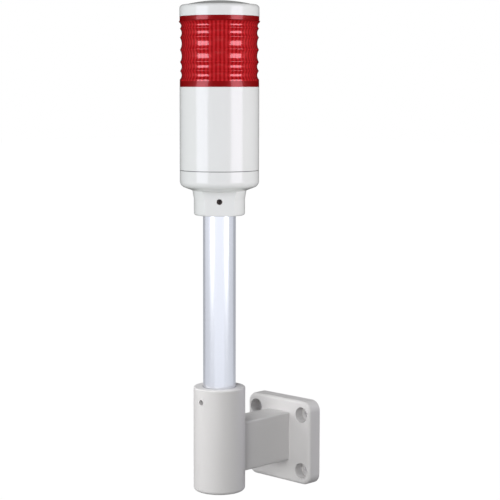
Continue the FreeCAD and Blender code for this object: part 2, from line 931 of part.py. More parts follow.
def draw_sector(sketch, inner, outer, bearing, width):
    """A stretch of ring about the sketch's origin: straight sides, and arcs inside and out."""
    start = math.radians(dim(bearing).number - dim(width).number / 2)
    stop = math.radians(dim(bearing).number + dim(width).number / 2)
    draw_outline(
        sketch,
        [
            (inner * math.cos(start), inner * math.sin(start)),
            (outer * math.cos(start), outer * math.sin(start), -outer),
            (outer * math.cos(stop), outer * math.sin(stop)),
            (inner * math.cos(stop), inner * math.sin(stop), inner),
        ],
    )


# ---------------------------------------------------------------- cap


def make_cap():
    """White cap with a low dome, and a skirt whose three lugs lock under the lens's ledge."""
    body = new_body("cap")
    top = S.cap_height
    under = top - S.cap_top
    skirt_bore = skirt_radius - S.skirt_wall
    skirt_foot = keep("skirt_foot", -S.ledge_thickness - 2 * S.slip - S.lug_height)
    rib_middle = (skirt_radius + inner_radius) / 2
    rib_in, rib_out = rib_middle - S.gasket_rib / 2, rib_middle + S.gasket_rib / 2
    rib_foot = S.cap_gap / 2 + S.cap_gasket_thickness
    dome_squares = S.dome_radius * S.dome_radius + S.dome_rise * S.dome_rise
    shoulder = rounded(
        (S.head_radius, dim(0)),
        (S.head_radius, top),
        (S.dome_radius, top),
        S.cap_shoulder,
        "cap_shoulder_round",
    )
    section = new_sketch(body, "cap_section")
    draw_outline(
        section,
        [(inner_radius, S.cap_gap), (S.head_radius, S.cap_gap)]
        + shoulder
        + [
            (S.dome_radius, top, -dome_squares / (2 * S.dome_rise)),
            (0, top + S.dome_rise),
            (0, under),
            (skirt_bore, under),
            (skirt_bore, skirt_foot),
            (skirt_radius, skirt_foot),
            (skirt_radius, under),
            (rib_in, under),
            (rib_in, rib_foot),
            (rib_out, rib_foot),
            (rib_out, under),
            (inner_radius, under),
        ],
    )
    revolve(body, section, "cap_shell")
    lug = new_sketch(body, "lug_section", "XY_Plane", skirt_foot)
    draw_sector(lug, skirt_radius - S.skirt_wall / 2, lug_tip, 0, S.lug_angle)
    pad = extrude(body, lug, "lug", S.lug_height)
    around(body, pad, "lugs", TIES)
    place_in_head(body, lens_crown)
    return body


# ---------------------------------------------------------------- lamp unit


def make_lamp_board():
    """Round circuit board on the deck, held down by the heads of the tie screws."""
    body = new_body("lamp_board")
    disc = new_sketch(body, "lamp_board_circle", "XY_Plane")
    draw_circle(disc, 0, 0, S.lamp_board_radius)
    extrude(body, disc, "lamp_board_disc", S.board_thickness)
    hole = new_sketch(body, "lamp_tie_circle", "XY_Plane", S.board_thickness)
    draw_circle(hole, S.post_ring, 0, S.tie_screw_radius + S.tie_clearance)
    pocket = extrude(body, hole, "lamp_tie_way", S.board_thickness, kind="Pocket")
    around(body, pocket, "lamp_tie_ways", TIES)
    place_in_head(body, deck_top)
    return body


def make_column():
    """Six-sided white post that carries the light strips."""
    body = new_body("led_column")
    section = new_sketch(body, "column_section", "XY_Plane")
    draw_outline(section, hexagon_corners(S.column_flats))
    extrude(body, section, "column_prism", S.column_height)
    place_in_head(body, lamp_face)
    return body


def make_strips():
    """One upright circuit board on each side of the column."""
    body = new_body("led_boards")
    section = new_sketch(body, "strip_section", "XY_Plane")
    out = S.column_flats / 2 + S.strip_thickness / 2
    draw_box(section, out, dim(0), S.strip_thickness, S.strip_width)
    pad = extrude(body, section, "strip", S.strip_height)
    around(body, pad, "strips", SIDES)
    place_in_head(body, lamp_face)
    return body


def make_chips():
    """Four light chips on each strip."""
    body = new_body("led_chips")
    out = S.column_flats / 2 + S.strip_thickness + S.chip_height / 2
    rows = []
    for row, level in enumerate(spread(CHIP_ROWS, S.chip_pitch)):
        foot = S.strip_height / 2 + level - S.chip_side / 2
        section = new_sketch(body, f"chip_section_{row}", "XY_Plane", foot)
        draw_box(section, out, dim(0), S.chip_height, S.chip_side)
        rows.append(extrude(body, section, f"chip_{row}", S.chip_side))
    pattern = around(body, rows[0], "chips", SIDES)
    pattern.Originals = rows
    place_in_head(body, lamp_face)
    return body


def make_pins():
    """Three brass pins that feed the lamp board from the control board."""
    body = new_body("contact_pins")
    circle = new_sketch(body, "pin_circle", "XY_Plane")
    draw_circle(circle, 0, S.pin_ring, S.pin_radius)
    pad = extrude(body, circle, "pin", deck_top - control_face)
    around(body, pad, "pins", TIES)
    place_in_head(body, control_face)
    return body


# ---------------------------------------------------------------- screws of the head


def make_screws(name, shank, length, head, head_height, level, bearing):
    """Three headed screws on the post ring, their heads bearing at a level above the seam."""
    body = new_body(name)
    angle = math.radians(bearing)
    x, y = S.post_ring * math.cos(angle), S.post_ring * math.sin(angle)
    rod = new_sketch(body, f"{name}_shank_circle", "XY_Plane", -length)
    draw_circle(rod, x, y, shank)
    shank_pad = extrude(body, rod, f"{name}_shank", length)
    top = new_sketch(body, f"{name}_head_circle", "XY_Plane")
    draw_circle(top, x, y, head)
    head_pad = extrude(body, top, f"{name}_head", head_height)
    pattern = around(body, shank_pad, f"{name}_set", TIES)
    pattern.Originals = [shank_pad, head_pad]
    place_in_head(body, level)
    return body


def make_tie_inserts():
    """Brass inserts in three of the base's posts."""
    body = new_body("tie_inserts")
    ring = new_sketch(body, "tie_insert_circles", "XY_Plane")
    draw_circle(ring, S.post_ring, 0, S.tie_insert_radius)
    draw_circle(ring, S.post_ring, 0, S.tie_screw_radius)
    pad = extrude(body, ring, "tie_insert", S.tie_insert_length)
    around(body, pad, "tie_insert_set", TIES)
    place_in_head(body, S.post_top - S.tie_insert_length)
    return body


# ---------------------------------------------------------------- control unit


def make_control_board():
    """Round circuit board on the posts, with a hole for the wires."""
    body = new_body("control_board")
    disc = new_sketch(body, "control_board_circles", "XY_Plane")
    draw_circle(disc, 0, 0, S.control_board_radius)
    draw_circle(disc, 0, 0, S.wire_hole)
    extrude(body, disc, "control_board_disc", S.board_thickness)
    for name, bearing, radius in (
        ("tie", TIE_BEARING, S.tie_screw_radius + S.tie_clearance),
        ("board", BOARD_BEARING, S.board_screw_radius + S.tie_clearance),
    ):
        angle = math.radians(bearing)
        hole = new_sketch(body, f"control_{name}_circle", "XY_Plane", S.board_thickness)
        draw_circle(hole, S.post_ring * math.cos(angle), S.post_ring * math.sin(angle), radius)
        pocket = extrude(body, hole, f"control_{name}_way", S.board_thickness, kind="Pocket")
        around(body, pocket, f"control_{name}_ways", TIES)
    place_in_head(body, S.post_top)
    return body


def make_case(name, x, y, length, width, height, lift=0):
    """A moulded component case on the control board, with a bevelled top rim."""
    body = new_body(name)
    section = new_sketch(body, f"{name}_section", "XY_Plane", dim(lift))
    draw_box(section, x, y, length, width)
    pad = extrude(body, section, f"{name}_case", height)
    top = (dim(lift) + height).number
    rim = edges_where(pad, lambda e: abs(e.BoundBox.ZMin - top) < FLOOR)
    bevel = body.newObject("PartDesign::Chamfer", f"{name}_bevel")
    bevel.Base = (pad, rim)
    bind(bevel, "Size", S.case_bevel)
    place_in_head(body, control_face)
    return body


def make_terminal_block():
    """Row of terminals, each with a wire mouth in front and a screw well above it."""
    y = -S.terminal_out - S.terminal_width / 2
    body = make_case(
        "terminal_block", dim(0), y, S.terminal_length, S.terminal_width, S.terminal_height
    )
    mouths = new_sketch(body, "mouth_sections", "XZ_Plane", S.terminal_out)
    wells = new_sketch(body, "well_circles", "XY_Plane", S.terminal_height)
    for x in spread(TERMINALS, S.terminal_pitch):
        draw_box(mouths, x, S.terminal_mouth, S.terminal_mouth, S.terminal_mouth)
        draw_circle(wells, x, y, S.terminal_screw_radius)
    extrude(body, mouths, "wire_mouths", S.terminal_width / 2, kind="Pocket", back=True)
    extrude(body, wells, "screw_wells", S.terminal_well, kind="Pocket")
    return body


def make_terminal_screws():
    """Screws that stand in the wells of the terminal block."""
    body = new_body("terminal_screws")
    y = -S.terminal_out - S.terminal_width / 2
    foot = S.terminal_height - S.terminal_well
    rods = new_sketch(body, "terminal_screw_circles", "XY_Plane", foot)
    for x in spread(TERMINALS, S.terminal_pitch):
        draw_circle(rods, x, y, S.terminal_screw_radius)
    length = S.terminal_well - S.case_bevel
    extrude(body, rods, "terminal_screw_rods", length)
    slots = new_sketch(body, "terminal_slots", "XY_Plane", foot + length)
    for x in spread(TERMINALS, S.terminal_pitch):
        draw_box(slots, x, y, S.slot_length, S.slot_width)
    extrude(body, slots, "terminal_screw_slots", S.slot_width, kind="Pocket")
    place_in_head(body, control_face)
    return body


def make_relay():
    """The relay that switches the lamp."""
    x = S.relay_out + S.relay_width / 2
    return make_case("relay", x, dim(0), S.relay_width, S.relay_length, S.relay_height)


def make_flasher_chip():
    """Timer chip on eight legs, which makes the lamp flash."""
    y = S.chip_out
    body = make_case(
        "flasher_chip",
        dim(0),
        y,
        S.chip_body_length,
        S.chip_body_width,
        S.chip_body_height,
        S.chip_lift,
    )
    legs = new_sketch(body, "leg_sections", "XY_Plane")
    pitch = S.chip_body_length / LEGS
    for x in spread(LEGS, pitch):
        for side in (-1, 1):
            draw_box(legs, x, y + side * S.chip_body_width / 2, S.leg_width, S.leg_width)
    extrude(body, legs, "legs", S.chip_lift + S.chip_body_height / 2)
    return body


def make_capacitors():
    """Two upright can capacitors."""
    body = new_body("capacitors")
    cans = new_sketch(body, "can_circles", "XY_Plane")
    for side in (-1, 1):
        draw_circle(cans, -S.capacitor_out, side * S.capacitor_apart / 2, S.capacitor_radius)
    extrude(body, cans, "cans", S.capacitor_height)
    place_in_head(body, control_face)
    return body


# ---------------------------------------------------------------- assembly


def make_all():
    """Every sub-part, in the order in which they would be put together."""
    screw_level = S.socket_top - S.bracket_screw_drop
    collar_screw_level = seam_level - S.collar_screw_drop
    out = bore_radius + S.insert_setback
    tip = S.pole_radius + S.screw_gap
    pieces = [make_bracket()]
    for owner, bearing, level in (
        ("bracket", -90, screw_level),
        ("head", SIZES["head_facing"] - 90, collar_screw_level),
    ):
        insert = make_insert(f"{owner}_insert")
        point_outward(insert, bearing, level, out)
        screw = make_set_screw(f"{owner}_set_screw")
        point_outward(screw, bearing, level, tip)
        pieces += [insert, screw]
    pieces += [make_pole(), make_grommet(), make_base()]
    pieces.append(
        make_gasket(
            "base_gasket",
            inner_radius,
            inner_radius + S.gasket_width,
            S.seam_gap,
            -S.seam_gap,
        )
    )
    pieces += [make_housing(), make_lens()]
    gasket = S.housing_height - S.lens_spigot - deck_top
    pieces.append(
        make_gasket("lens_gasket", S.lens_bore, inner_radius - S.slip, gasket, deck_top)
    )
    pieces.append(make_cap())
    rib_middle = (skirt_radius + inner_radius) / 2
    pieces.append(
        make_gasket(
            "cap_gasket",
            rib_middle - S.gasket_rib,
            rib_middle + S.gasket_rib,
            S.cap_gasket_thickness,
            lens_crown + S.cap_gap / 2,
        )
    )
    pieces += [make_lamp_board(), make_column(), make_strips(), make_chips(), make_pins()]
    pieces.append(make_tie_inserts())
    pieces.append(
        make_screws(
            "tie_screws",
            S.tie_screw_radius,
            lamp_face - S.post_top + S.tie_bite,
            S.tie_head_radius,
            S.tie_head_height,
            lamp_face,
            TIE_BEARING,
        )
    )
    pieces.append(
        make_screws(
            "board_screws",
            S.board_screw_radius,
            S.board_thickness + S.board_screw_bite,
            S.board_screw_head,
            S.board_screw_head / 2,
            control_face,
            BOARD_BEARING,
        )
    )
    pieces += [make_control_board(), make_terminal_block(), make_terminal_screws()]
    pieces += [make_relay(), make_flasher_chip(), make_capacitors()]
    return pieces


def check(pieces):
    """Stop if any object failed or any sub-part isn't a valid closed shape."""
    doc.recompute()
    for item in doc.Objects:
        if "Invalid" in item.State or "Error" in item.State:
            raise RuntimeError(f"{item.Label} failed: {item.State}")
    for piece in pieces:
        shape = piece.Shape
        if shape.isNull() or not shape.isValid() or not shape.Solids:
            raise RuntimeError(f"{piece.Label} has no valid solid")
        print(f"{piece.Label}: {len(shape.Solids)} solid(s), {shape.Volume:.1f} mm3")


def write(pieces):
    """One STEP file for each sub-part."""
    os.makedirs("parts", exist_ok=True)
    for piece in pieces:
        piece.Shape.exportStep(f"parts/{piece.Label}.step")


pieces = make_all()
check(pieces)
write(pieces)
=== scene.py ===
"""Studio scene of a wall-mounted stack light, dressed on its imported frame."""

import json
import logging
import math
from dataclasses import dataclass, field
from enum import Enum
from typing import Callable

import bmesh
import bpy
from mathutils import Matrix, Vector

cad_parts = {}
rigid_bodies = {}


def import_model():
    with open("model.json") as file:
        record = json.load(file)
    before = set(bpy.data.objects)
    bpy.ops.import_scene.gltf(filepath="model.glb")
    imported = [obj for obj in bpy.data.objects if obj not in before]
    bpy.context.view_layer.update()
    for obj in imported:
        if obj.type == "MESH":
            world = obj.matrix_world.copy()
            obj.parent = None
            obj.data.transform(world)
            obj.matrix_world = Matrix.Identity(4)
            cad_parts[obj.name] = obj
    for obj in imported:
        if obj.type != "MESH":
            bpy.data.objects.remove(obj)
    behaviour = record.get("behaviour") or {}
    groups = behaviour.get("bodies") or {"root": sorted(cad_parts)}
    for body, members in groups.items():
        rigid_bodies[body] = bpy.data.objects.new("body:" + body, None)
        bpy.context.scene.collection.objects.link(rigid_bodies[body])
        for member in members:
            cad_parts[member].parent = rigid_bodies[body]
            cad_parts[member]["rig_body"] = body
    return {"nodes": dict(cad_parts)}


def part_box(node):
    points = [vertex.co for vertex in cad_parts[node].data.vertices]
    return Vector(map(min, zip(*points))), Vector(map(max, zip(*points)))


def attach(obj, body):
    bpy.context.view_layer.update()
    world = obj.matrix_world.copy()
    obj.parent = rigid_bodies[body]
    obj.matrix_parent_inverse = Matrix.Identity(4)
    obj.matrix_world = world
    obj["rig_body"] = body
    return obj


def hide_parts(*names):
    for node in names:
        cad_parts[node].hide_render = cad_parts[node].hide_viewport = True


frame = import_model()
LOG = logging.getLogger("stack_light")
MM = 0.001

Pair = tuple[float, float]
Colour = tuple[float, float, float]
WHITE: Colour = (1.0, 1.0, 1.0)
UP = Vector((0.0, 0.0, 1.0))
HOME = Matrix.Identity(4)


# ---- shader writing


@dataclass(frozen=True, eq=False)
class Wire:
    """One output socket; arithmetic on it adds the nodes that work it out."""

    bench: "Bench"
    socket: bpy.types.NodeSocket

    def _math(self, operation: str, first: "Value", second: "Value") -> "Wire":
        """Adds a Math node, or a Vector Math node where this wire carries a vector."""
        kind = "Math" if self.socket.type == "VALUE" else "VectorMath"
        return self.bench.get(kind, {0: first, 1: second}, operation=operation)

    def __add__(self, other: "Value") -> "Wire":
        """Sum."""
        return self._math("ADD", self, other)

    __radd__ = __add__

    def __sub__(self, other: "Value") -> "Wire":
        """Difference."""
        return self._math("SUBTRACT", self, other)

    def __rsub__(self, other: "Value") -> "Wire":
        """Difference from something."""
        return self._math("SUBTRACT", other, self)

    def __mul__(self, other: "Value") -> "Wire":
        """Product."""
        return self._math("MULTIPLY", self, other)

    __rmul__ = __mul__

    def over(self, edge: float) -> "Wire":
        """1 where the value is over an edge, 0 elsewhere."""
        return self._math("GREATER_THAN", self, edge)

    def bearing(self, across: "Value") -> "Wire":
        """The angle, in radians, whose tangent is this value over another."""
        return self._math("ARCTAN2", self, across)

    def wave(self) -> "Wire":
        """0 to 1 and back as the value grows by a full turn."""
        return self._math("SINE", self, 0.0) * 0.5 + 0.5

    def span(self, low: float, high: float) -> "Wire":
        """The value, 0 to 1, spread from low to high."""
        return self * (high - low) + low

    def between(self, low: "Value", high: "Value") -> "Wire":
        """Mixes two colours with this value as the share of the second."""
        node = self.bench.add("Mix", {"Factor": self, "A": low, "B": high}, data_type="RGBA")
        return Wire(self.bench, next(o for o in node.outputs if o.type == "RGBA"))

    def part(self, axis: str) -> "Wire":
        """The X, Y or Z of a vector."""
        return self.bench.get("SeparateXYZ", {0: self}, axis)


Value = float | Colour | Wire
Inputs = dict[str | int, Value]


class Bench:
    """Writer of one node tree."""

    def __init__(self, owner: bpy.types.Material | bpy.types.World) -> None:
        """Empties a node tree and takes it over.

        Args:
            owner: the material or world that it belongs to.
        """
        owner.use_nodes = True
        self.tree = owner.node_tree
        self.tree.nodes.clear()

    def add(self, kind: str, inputs: Inputs | None = None, **settings: str) -> bpy.types.Node:
        """Adds a node.

        Args:
            kind: the node's type, without its prefix.
            inputs: values or wires by the name or number of their socket.
            settings: its properties, set first.

        Returns:
            The new node.
        """
        node = self.tree.nodes.new(f"ShaderNode{kind}")
        for name, value in settings.items():
            setattr(node, name, value)
        for key, value in (inputs or {}).items():
            same = [s for s in node.inputs if s.name == key and s.enabled]
            socket = node.inputs[key] if isinstance(key, int) else same[0]
            if isinstance(value, Wire):
                self.tree.links.new(value.socket, socket)
            else:
                socket.default_value = (*value, 1.0) if socket.type == "RGBA" else value
        return node

    def get(
        self, kind: str, inputs: Inputs | None = None, output: str | int = 0, **settings: str
    ) -> Wire:
        """Adds a node and gives the wire of one of its outputs."""
        return Wire(self, self.add(kind, inputs, **settings).outputs[output])

    def place(self) -> Wire:
        """The point on the object, in metres."""
        return self.get("TexCoord", output="Object")

    def noise(self, per_metre: float, detail: float = 2.0, stretch: Colour = (1.0,) * 3) -> Wire:
        """Clouds from 0 to 1, so many to the metre, or a share of that along each axis."""
        inputs: Inputs = {"Vector": self.place() * stretch, "Scale": per_metre, "Detail": detail}
        return self.get("TexNoise", inputs)

    def bump(self, height: Wire, depth: float, under: Wire | None = None) -> Wire:
        """A normal bent by a height.

        Args:
            height: the pattern, 0 to 1.
            depth: how far 1 stands above 0, in metres.
            under: a normal that the bump lies on.

        Returns:
            The wire of the normal.
        """
        inputs: Inputs = {"Height": height, "Distance": depth, "Strength": 1.0}
        if under is not None:
            inputs["Normal"] = under
        return self.get("Bump", inputs)

    def finish(self, inputs: Inputs) -> None:
        """Ends a material with a Principled shader of these inputs."""
        self.add("OutputMaterial", {"Surface": self.get("BsdfPrincipled", inputs)})


# ---- finishes


@dataclass(frozen=True)
class Finish:
    """A surface finish; each kind writes its own nodes."""

    name: str
    colour: Colour
    roughness: Pair = (0.3, 0.4)
    shade: float = 0.97

    def write(self, bench: Bench) -> None:
        """Writes the nodes of the finish."""
        raise NotImplementedError

    def look(self, tint: Wire, wear: Wire, normal: Wire) -> Inputs:
        """The inputs that most finishes have.

        Args:
            tint: the pattern from the shaded colour to the full one.
            wear: the pattern from the low roughness to the high one.
            normal: the normal.

        Returns:
            The inputs of a Principled shader.
        """
        return {
            "Base Color": tint.between(tuple(c * self.shade for c in self.colour), self.colour),
            "Roughness": wear.span(*self.roughness),
            "Normal": normal,
        }

    def material(self) -> bpy.types.Material:
        """The material of this finish, made once.

        Returns:
            The material.
        """
        found = bpy.data.materials.get(self.name)
        if found is None:
            found = bpy.data.materials.new(self.name)
            self.write(Bench(found))
            found.diffuse_color = (*self.colour, 1.0)
        return found


@dataclass(frozen=True)
class Moulded(Finish):
    """Moulded plastic or rubber with a fine grain."""

    drift_per_metre: float = 35.0
    grain_per_metre: float = 2500.0
    grain_depth: float = 0.00001
    specular: float = 0.5

    def write(self, bench: Bench) -> None:
        """Slow drift of colour and gloss under a fine grain.

        Args:
            bench: the node tree's writer.
        """
        drift = bench.noise(self.drift_per_metre, 3.0)
        grain = bench.bump(bench.noise(self.grain_per_metre), self.grain_depth)
        bench.finish(self.look(drift, drift, grain) | {"Specular IOR Level": self.specular})


@dataclass(frozen=True)
class Textured(Finish):
    """Plastic moulded in a spark-eroded tool: a coarse satin skin with duller flow clouds."""

    flow_per_metre: float = 28.0
    flow_stretch: Colour = (1.0, 1.0, 0.45)
    pits_per_metre: float = 1100.0
    pits_depth: float = 0.00006
    pits_share: float = 0.3
    grain_per_metre: float = 4200.0
    grain_depth: float = 0.00002

    def write(self, bench: Bench) -> None:
        """Flow clouds in the colour, pits in the gloss and the relief.

        Args:
            bench: the node tree's writer.
        """
        flow = bench.noise(self.flow_per_metre, 4.0, self.flow_stretch)
        pits = bench.noise(self.pits_per_metre, 3.0)
        grain = bench.noise(self.grain_per_metre)
        mottled = flow * (1 - self.pits_share) + pits * self.pits_share
        relief = bench.bump(grain, self.grain_depth, bench.bump(pits, self.pits_depth))
        bench.finish(self.look(mottled, mottled, relief))


@dataclass(frozen=True)
class TintedClear(Finish):
    """Tinted polycarbonate over upright prisms: polished rings between two less glossy bands; the
    prisms' bent and reflected light is painted in the colour as stripes, and the bands get a
    painted deeper shade.
    """

    axis: Pair = (0.0, 0.0)
    rings: Pair = (0.0, 1.0)
    prisms: int = 60
    first_prism: float = 1.0
    # Painted shade: the deep red between the painted highlight stripes of the prisms.
    stripe_shade: Colour = (0.56, 0.002, 0.005)
    # Painted shade: the deeper red of the two bands above and below the rings.
    shaded_band: Colour = (0.42, 0.002, 0.004)
    flow_per_metre: float = 60.0
    flow_share: float = 0.1
    flow_depth: float = 0.00002
    ior: float = 1.45
    transmission: float = 0.25
    glow: float = 0.25
    coat: Pair = (0.3, 1.0)
    coat_roughness: float = 0.03
    coat_ior: float = 1.8

    def write(self, bench: Bench) -> None:
        """Painted highlight and shade stripes for the prisms inside the rings, painted shade on the
        bands, and a clear skin over them.

        Args:
            bench: the node tree's writer.
        """
        flow = bench.noise(self.flow_per_metre)
        point = bench.place()
        across, along = point.part("X") - self.axis[0], point.part("Y") - self.axis[1]
        phase = math.pi / 2 - self.prisms * math.radians(self.first_prism)
        # Painted highlights and painted shade: one pale and one deep stripe for each prism, by
        # bearing round the axis.
        stripes = (along.bearing(across) * float(self.prisms) + phase).wave()
        level = point.part("Z")
        ringed = level.over(self.rings[0]) * (1.0 - level.over(self.rings[1]))
        # The painted prism stripes with a little random flow tone.
        mottled = stripes * (1 - self.flow_share) + flow * self.flow_share
        bench.finish(
            {
                # Painted shade on the bands, painted prism stripes in the rings.
                "Base Color": ringed.between(self.shaded_band, mottled.between(self.stripe_shade, self.colour)),
                "Roughness": flow.span(*self.roughness),
                "Metallic": self.glow,
                "IOR": self.ior,
                "Transmission Weight": self.transmission,
                "Coat Weight": ringed.span(*self.coat),
                "Coat Roughness": self.coat_roughness,
                "Coat IOR": self.coat_ior,
                "Normal": bench.bump(flow, self.flow_depth),
            }
        )


@dataclass(frozen=True)
class DrawnMetal(Finish):
    """Metal with fine lines along the upright it was drawn on."""

    lines_per_metre: float = 2500.0
    line_stretch: Colour = (1.0, 1.0, 0.004)
    line_depth: float = 0.000004
    clouds_per_metre: float = 25.0
    cloud_stretch: Colour = (1.0, 1.0, 0.3)

    def write(self, bench: Bench) -> None:
        """Fine upright lines in gloss and relief.

        Args:
            bench: the node tree's writer.
        """
        lines = bench.noise(self.lines_per_metre, 3.0, self.line_stretch)
        clouds = bench.noise(self.clouds_per_metre, 3.0, self.cloud_stretch)
        worn = lines * 0.5 + clouds * 0.5
        look = self.look(clouds, worn, bench.bump(lines, self.line_depth))
        bench.finish(look | {"Metallic": 1.0})


@dataclass(frozen=True)
class TurnedMetal(Finish):
    """Small turned or plated metal piece."""

    roughness: Pair = (0.22, 0.42)
    shade: float = 0.75
    wear_per_metre: float = 600.0
    wear_depth: float = 0.00001

    def write(self, bench: Bench) -> None:
        """Fine wear in gloss and colour.

        Args:
            bench: the node tree's writer.
        """
        wear = bench.noise(self.wear_per_metre, 3.0)
        look = self.look(wear, wear, bench.bump(wear, self.wear_depth))
        bench.finish(look | {"Metallic": 1.0})


@dataclass(frozen=True)
class CircuitBoard(Finish):
    """Solder mask over copper runs."""

    copper: Colour = (0.06, 0.34, 0.14)
    runs_per_metre: float = 260.0
    gap: float = 0.12
    copper_rise: float = 0.00003

    def write(self, bench: Bench) -> None:
        """Lighter runs where copper lies under the mask.

        Args:
            bench: the node tree's writer.
        """
        inputs: Inputs = {"Vector": bench.place(), "Scale": self.runs_per_metre}
        mask = bench.get("TexVoronoi", inputs, feature="DISTANCE_TO_EDGE").over(self.gap)
        bench.finish(
            {
                "Base Color": mask.between(self.colour, self.copper),
                "Roughness": mask.span(*self.roughness),
                "Normal": bench.bump(mask, self.copper_rise),
            }
        )


WHITE_ABS = Moulded(
    "white_abs", (0.795, 0.815, 0.785), (0.13, 0.17), 0.985, grain_depth=0.000002, specular=0.75
)
GREY_BRACKET = Textured("grey_bracket_plastic", (0.63, 0.62, 0.62), (0.4, 0.58), 0.91)
POLE_METAL = DrawnMetal("anodised_pole", (0.87, 0.885, 0.93), (0.18, 0.3), 0.95)
BRASS = TurnedMetal("turned_brass", (0.78, 0.58, 0.28))
STEEL = TurnedMetal("plated_steel", (0.50, 0.50, 0.51))
BLACKED_STEEL = TurnedMetal("blackened_steel", (0.05, 0.05, 0.055), (0.34, 0.54))
WORN_STEEL = TurnedMetal("worn_steel", (0.62, 0.57, 0.53), (0.27, 0.47))
SOLDER = TurnedMetal("solder", (0.62, 0.62, 0.64), (0.14, 0.34))
BLACK_RUBBER = Moulded("black_rubber", (0.025, 0.025, 0.026), (0.6, 0.7), grain_depth=0.00002)
SEAL_RUBBER = Moulded("seal_rubber", (0.14, 0.14, 0.14), (0.55, 0.65), grain_depth=0.00002)
BOARD = CircuitBoard("circuit_board", (0.015, 0.16, 0.06), (0.35, 0.25))
WHITE_BOARD = CircuitBoard(
    "white_circuit_board", (0.78, 0.78, 0.76), (0.35, 0.25), copper=(0.66, 0.66, 0.63)
)
COLUMN_PLASTIC = Moulded("column_plastic", (0.82, 0.82, 0.80))
CHIP_FRAME = Moulded("light_chip_frame", (0.88, 0.88, 0.86))
PHOSPHOR = Moulded("light_chip_phosphor", (0.90, 0.66, 0.10), (0.15, 0.25))
TERMINAL_PLASTIC = Moulded("terminal_plastic", (0.03, 0.24, 0.12), (0.35, 0.45))
BLACK_CASE = Moulded("black_case", (0.02, 0.02, 0.022))
RESISTOR_BODY = Moulded("resistor_body", (0.62, 0.47, 0.28), (0.35, 0.45))
BAND_BROWN = Moulded("resistor_band_brown", (0.13, 0.045, 0.015))
BAND_RED = Moulded("resistor_band_red", (0.55, 0.03, 0.02))
CAN_SLEEVE = Moulded("can_sleeve", (0.03, 0.04, 0.10), (0.2, 0.3))
CAN_STRIPE = Moulded("can_stripe", (0.62, 0.64, 0.68), (0.25, 0.35))


# ---- mesh making


class Recess(Enum):
    """Bearings of the cuts that make the driver's recess in a screw head, in degrees."""

    CROSS = (45.0, 135.0)
    SLOT = (45.0,)


Radius = float | Callable[[int], float]
Size = tuple[float, float, float]
Profile = list[tuple[Radius, float]]


def put(name: str, data: bpy.types.ID) -> bpy.types.Object:
    """Adds an object to the scene.

    Args:
        name: its name.
        data: what it holds.

    Returns:
        The object.
    """
    made = bpy.data.objects.new(name, data)
    bpy.context.scene.collection.objects.link(made)
    return made


def section(inner: float, outer: float, low: float, high: float) -> Profile:
    """Profile of a tube, or of a rod where the inner radius is 0."""
    return [(inner, low), (outer, low), (outer, high), (inner, high)]


def turn(degrees: float) -> Matrix:
    """A turn about Z."""
    return Matrix.Rotation(math.radians(degrees), 4, "Z")


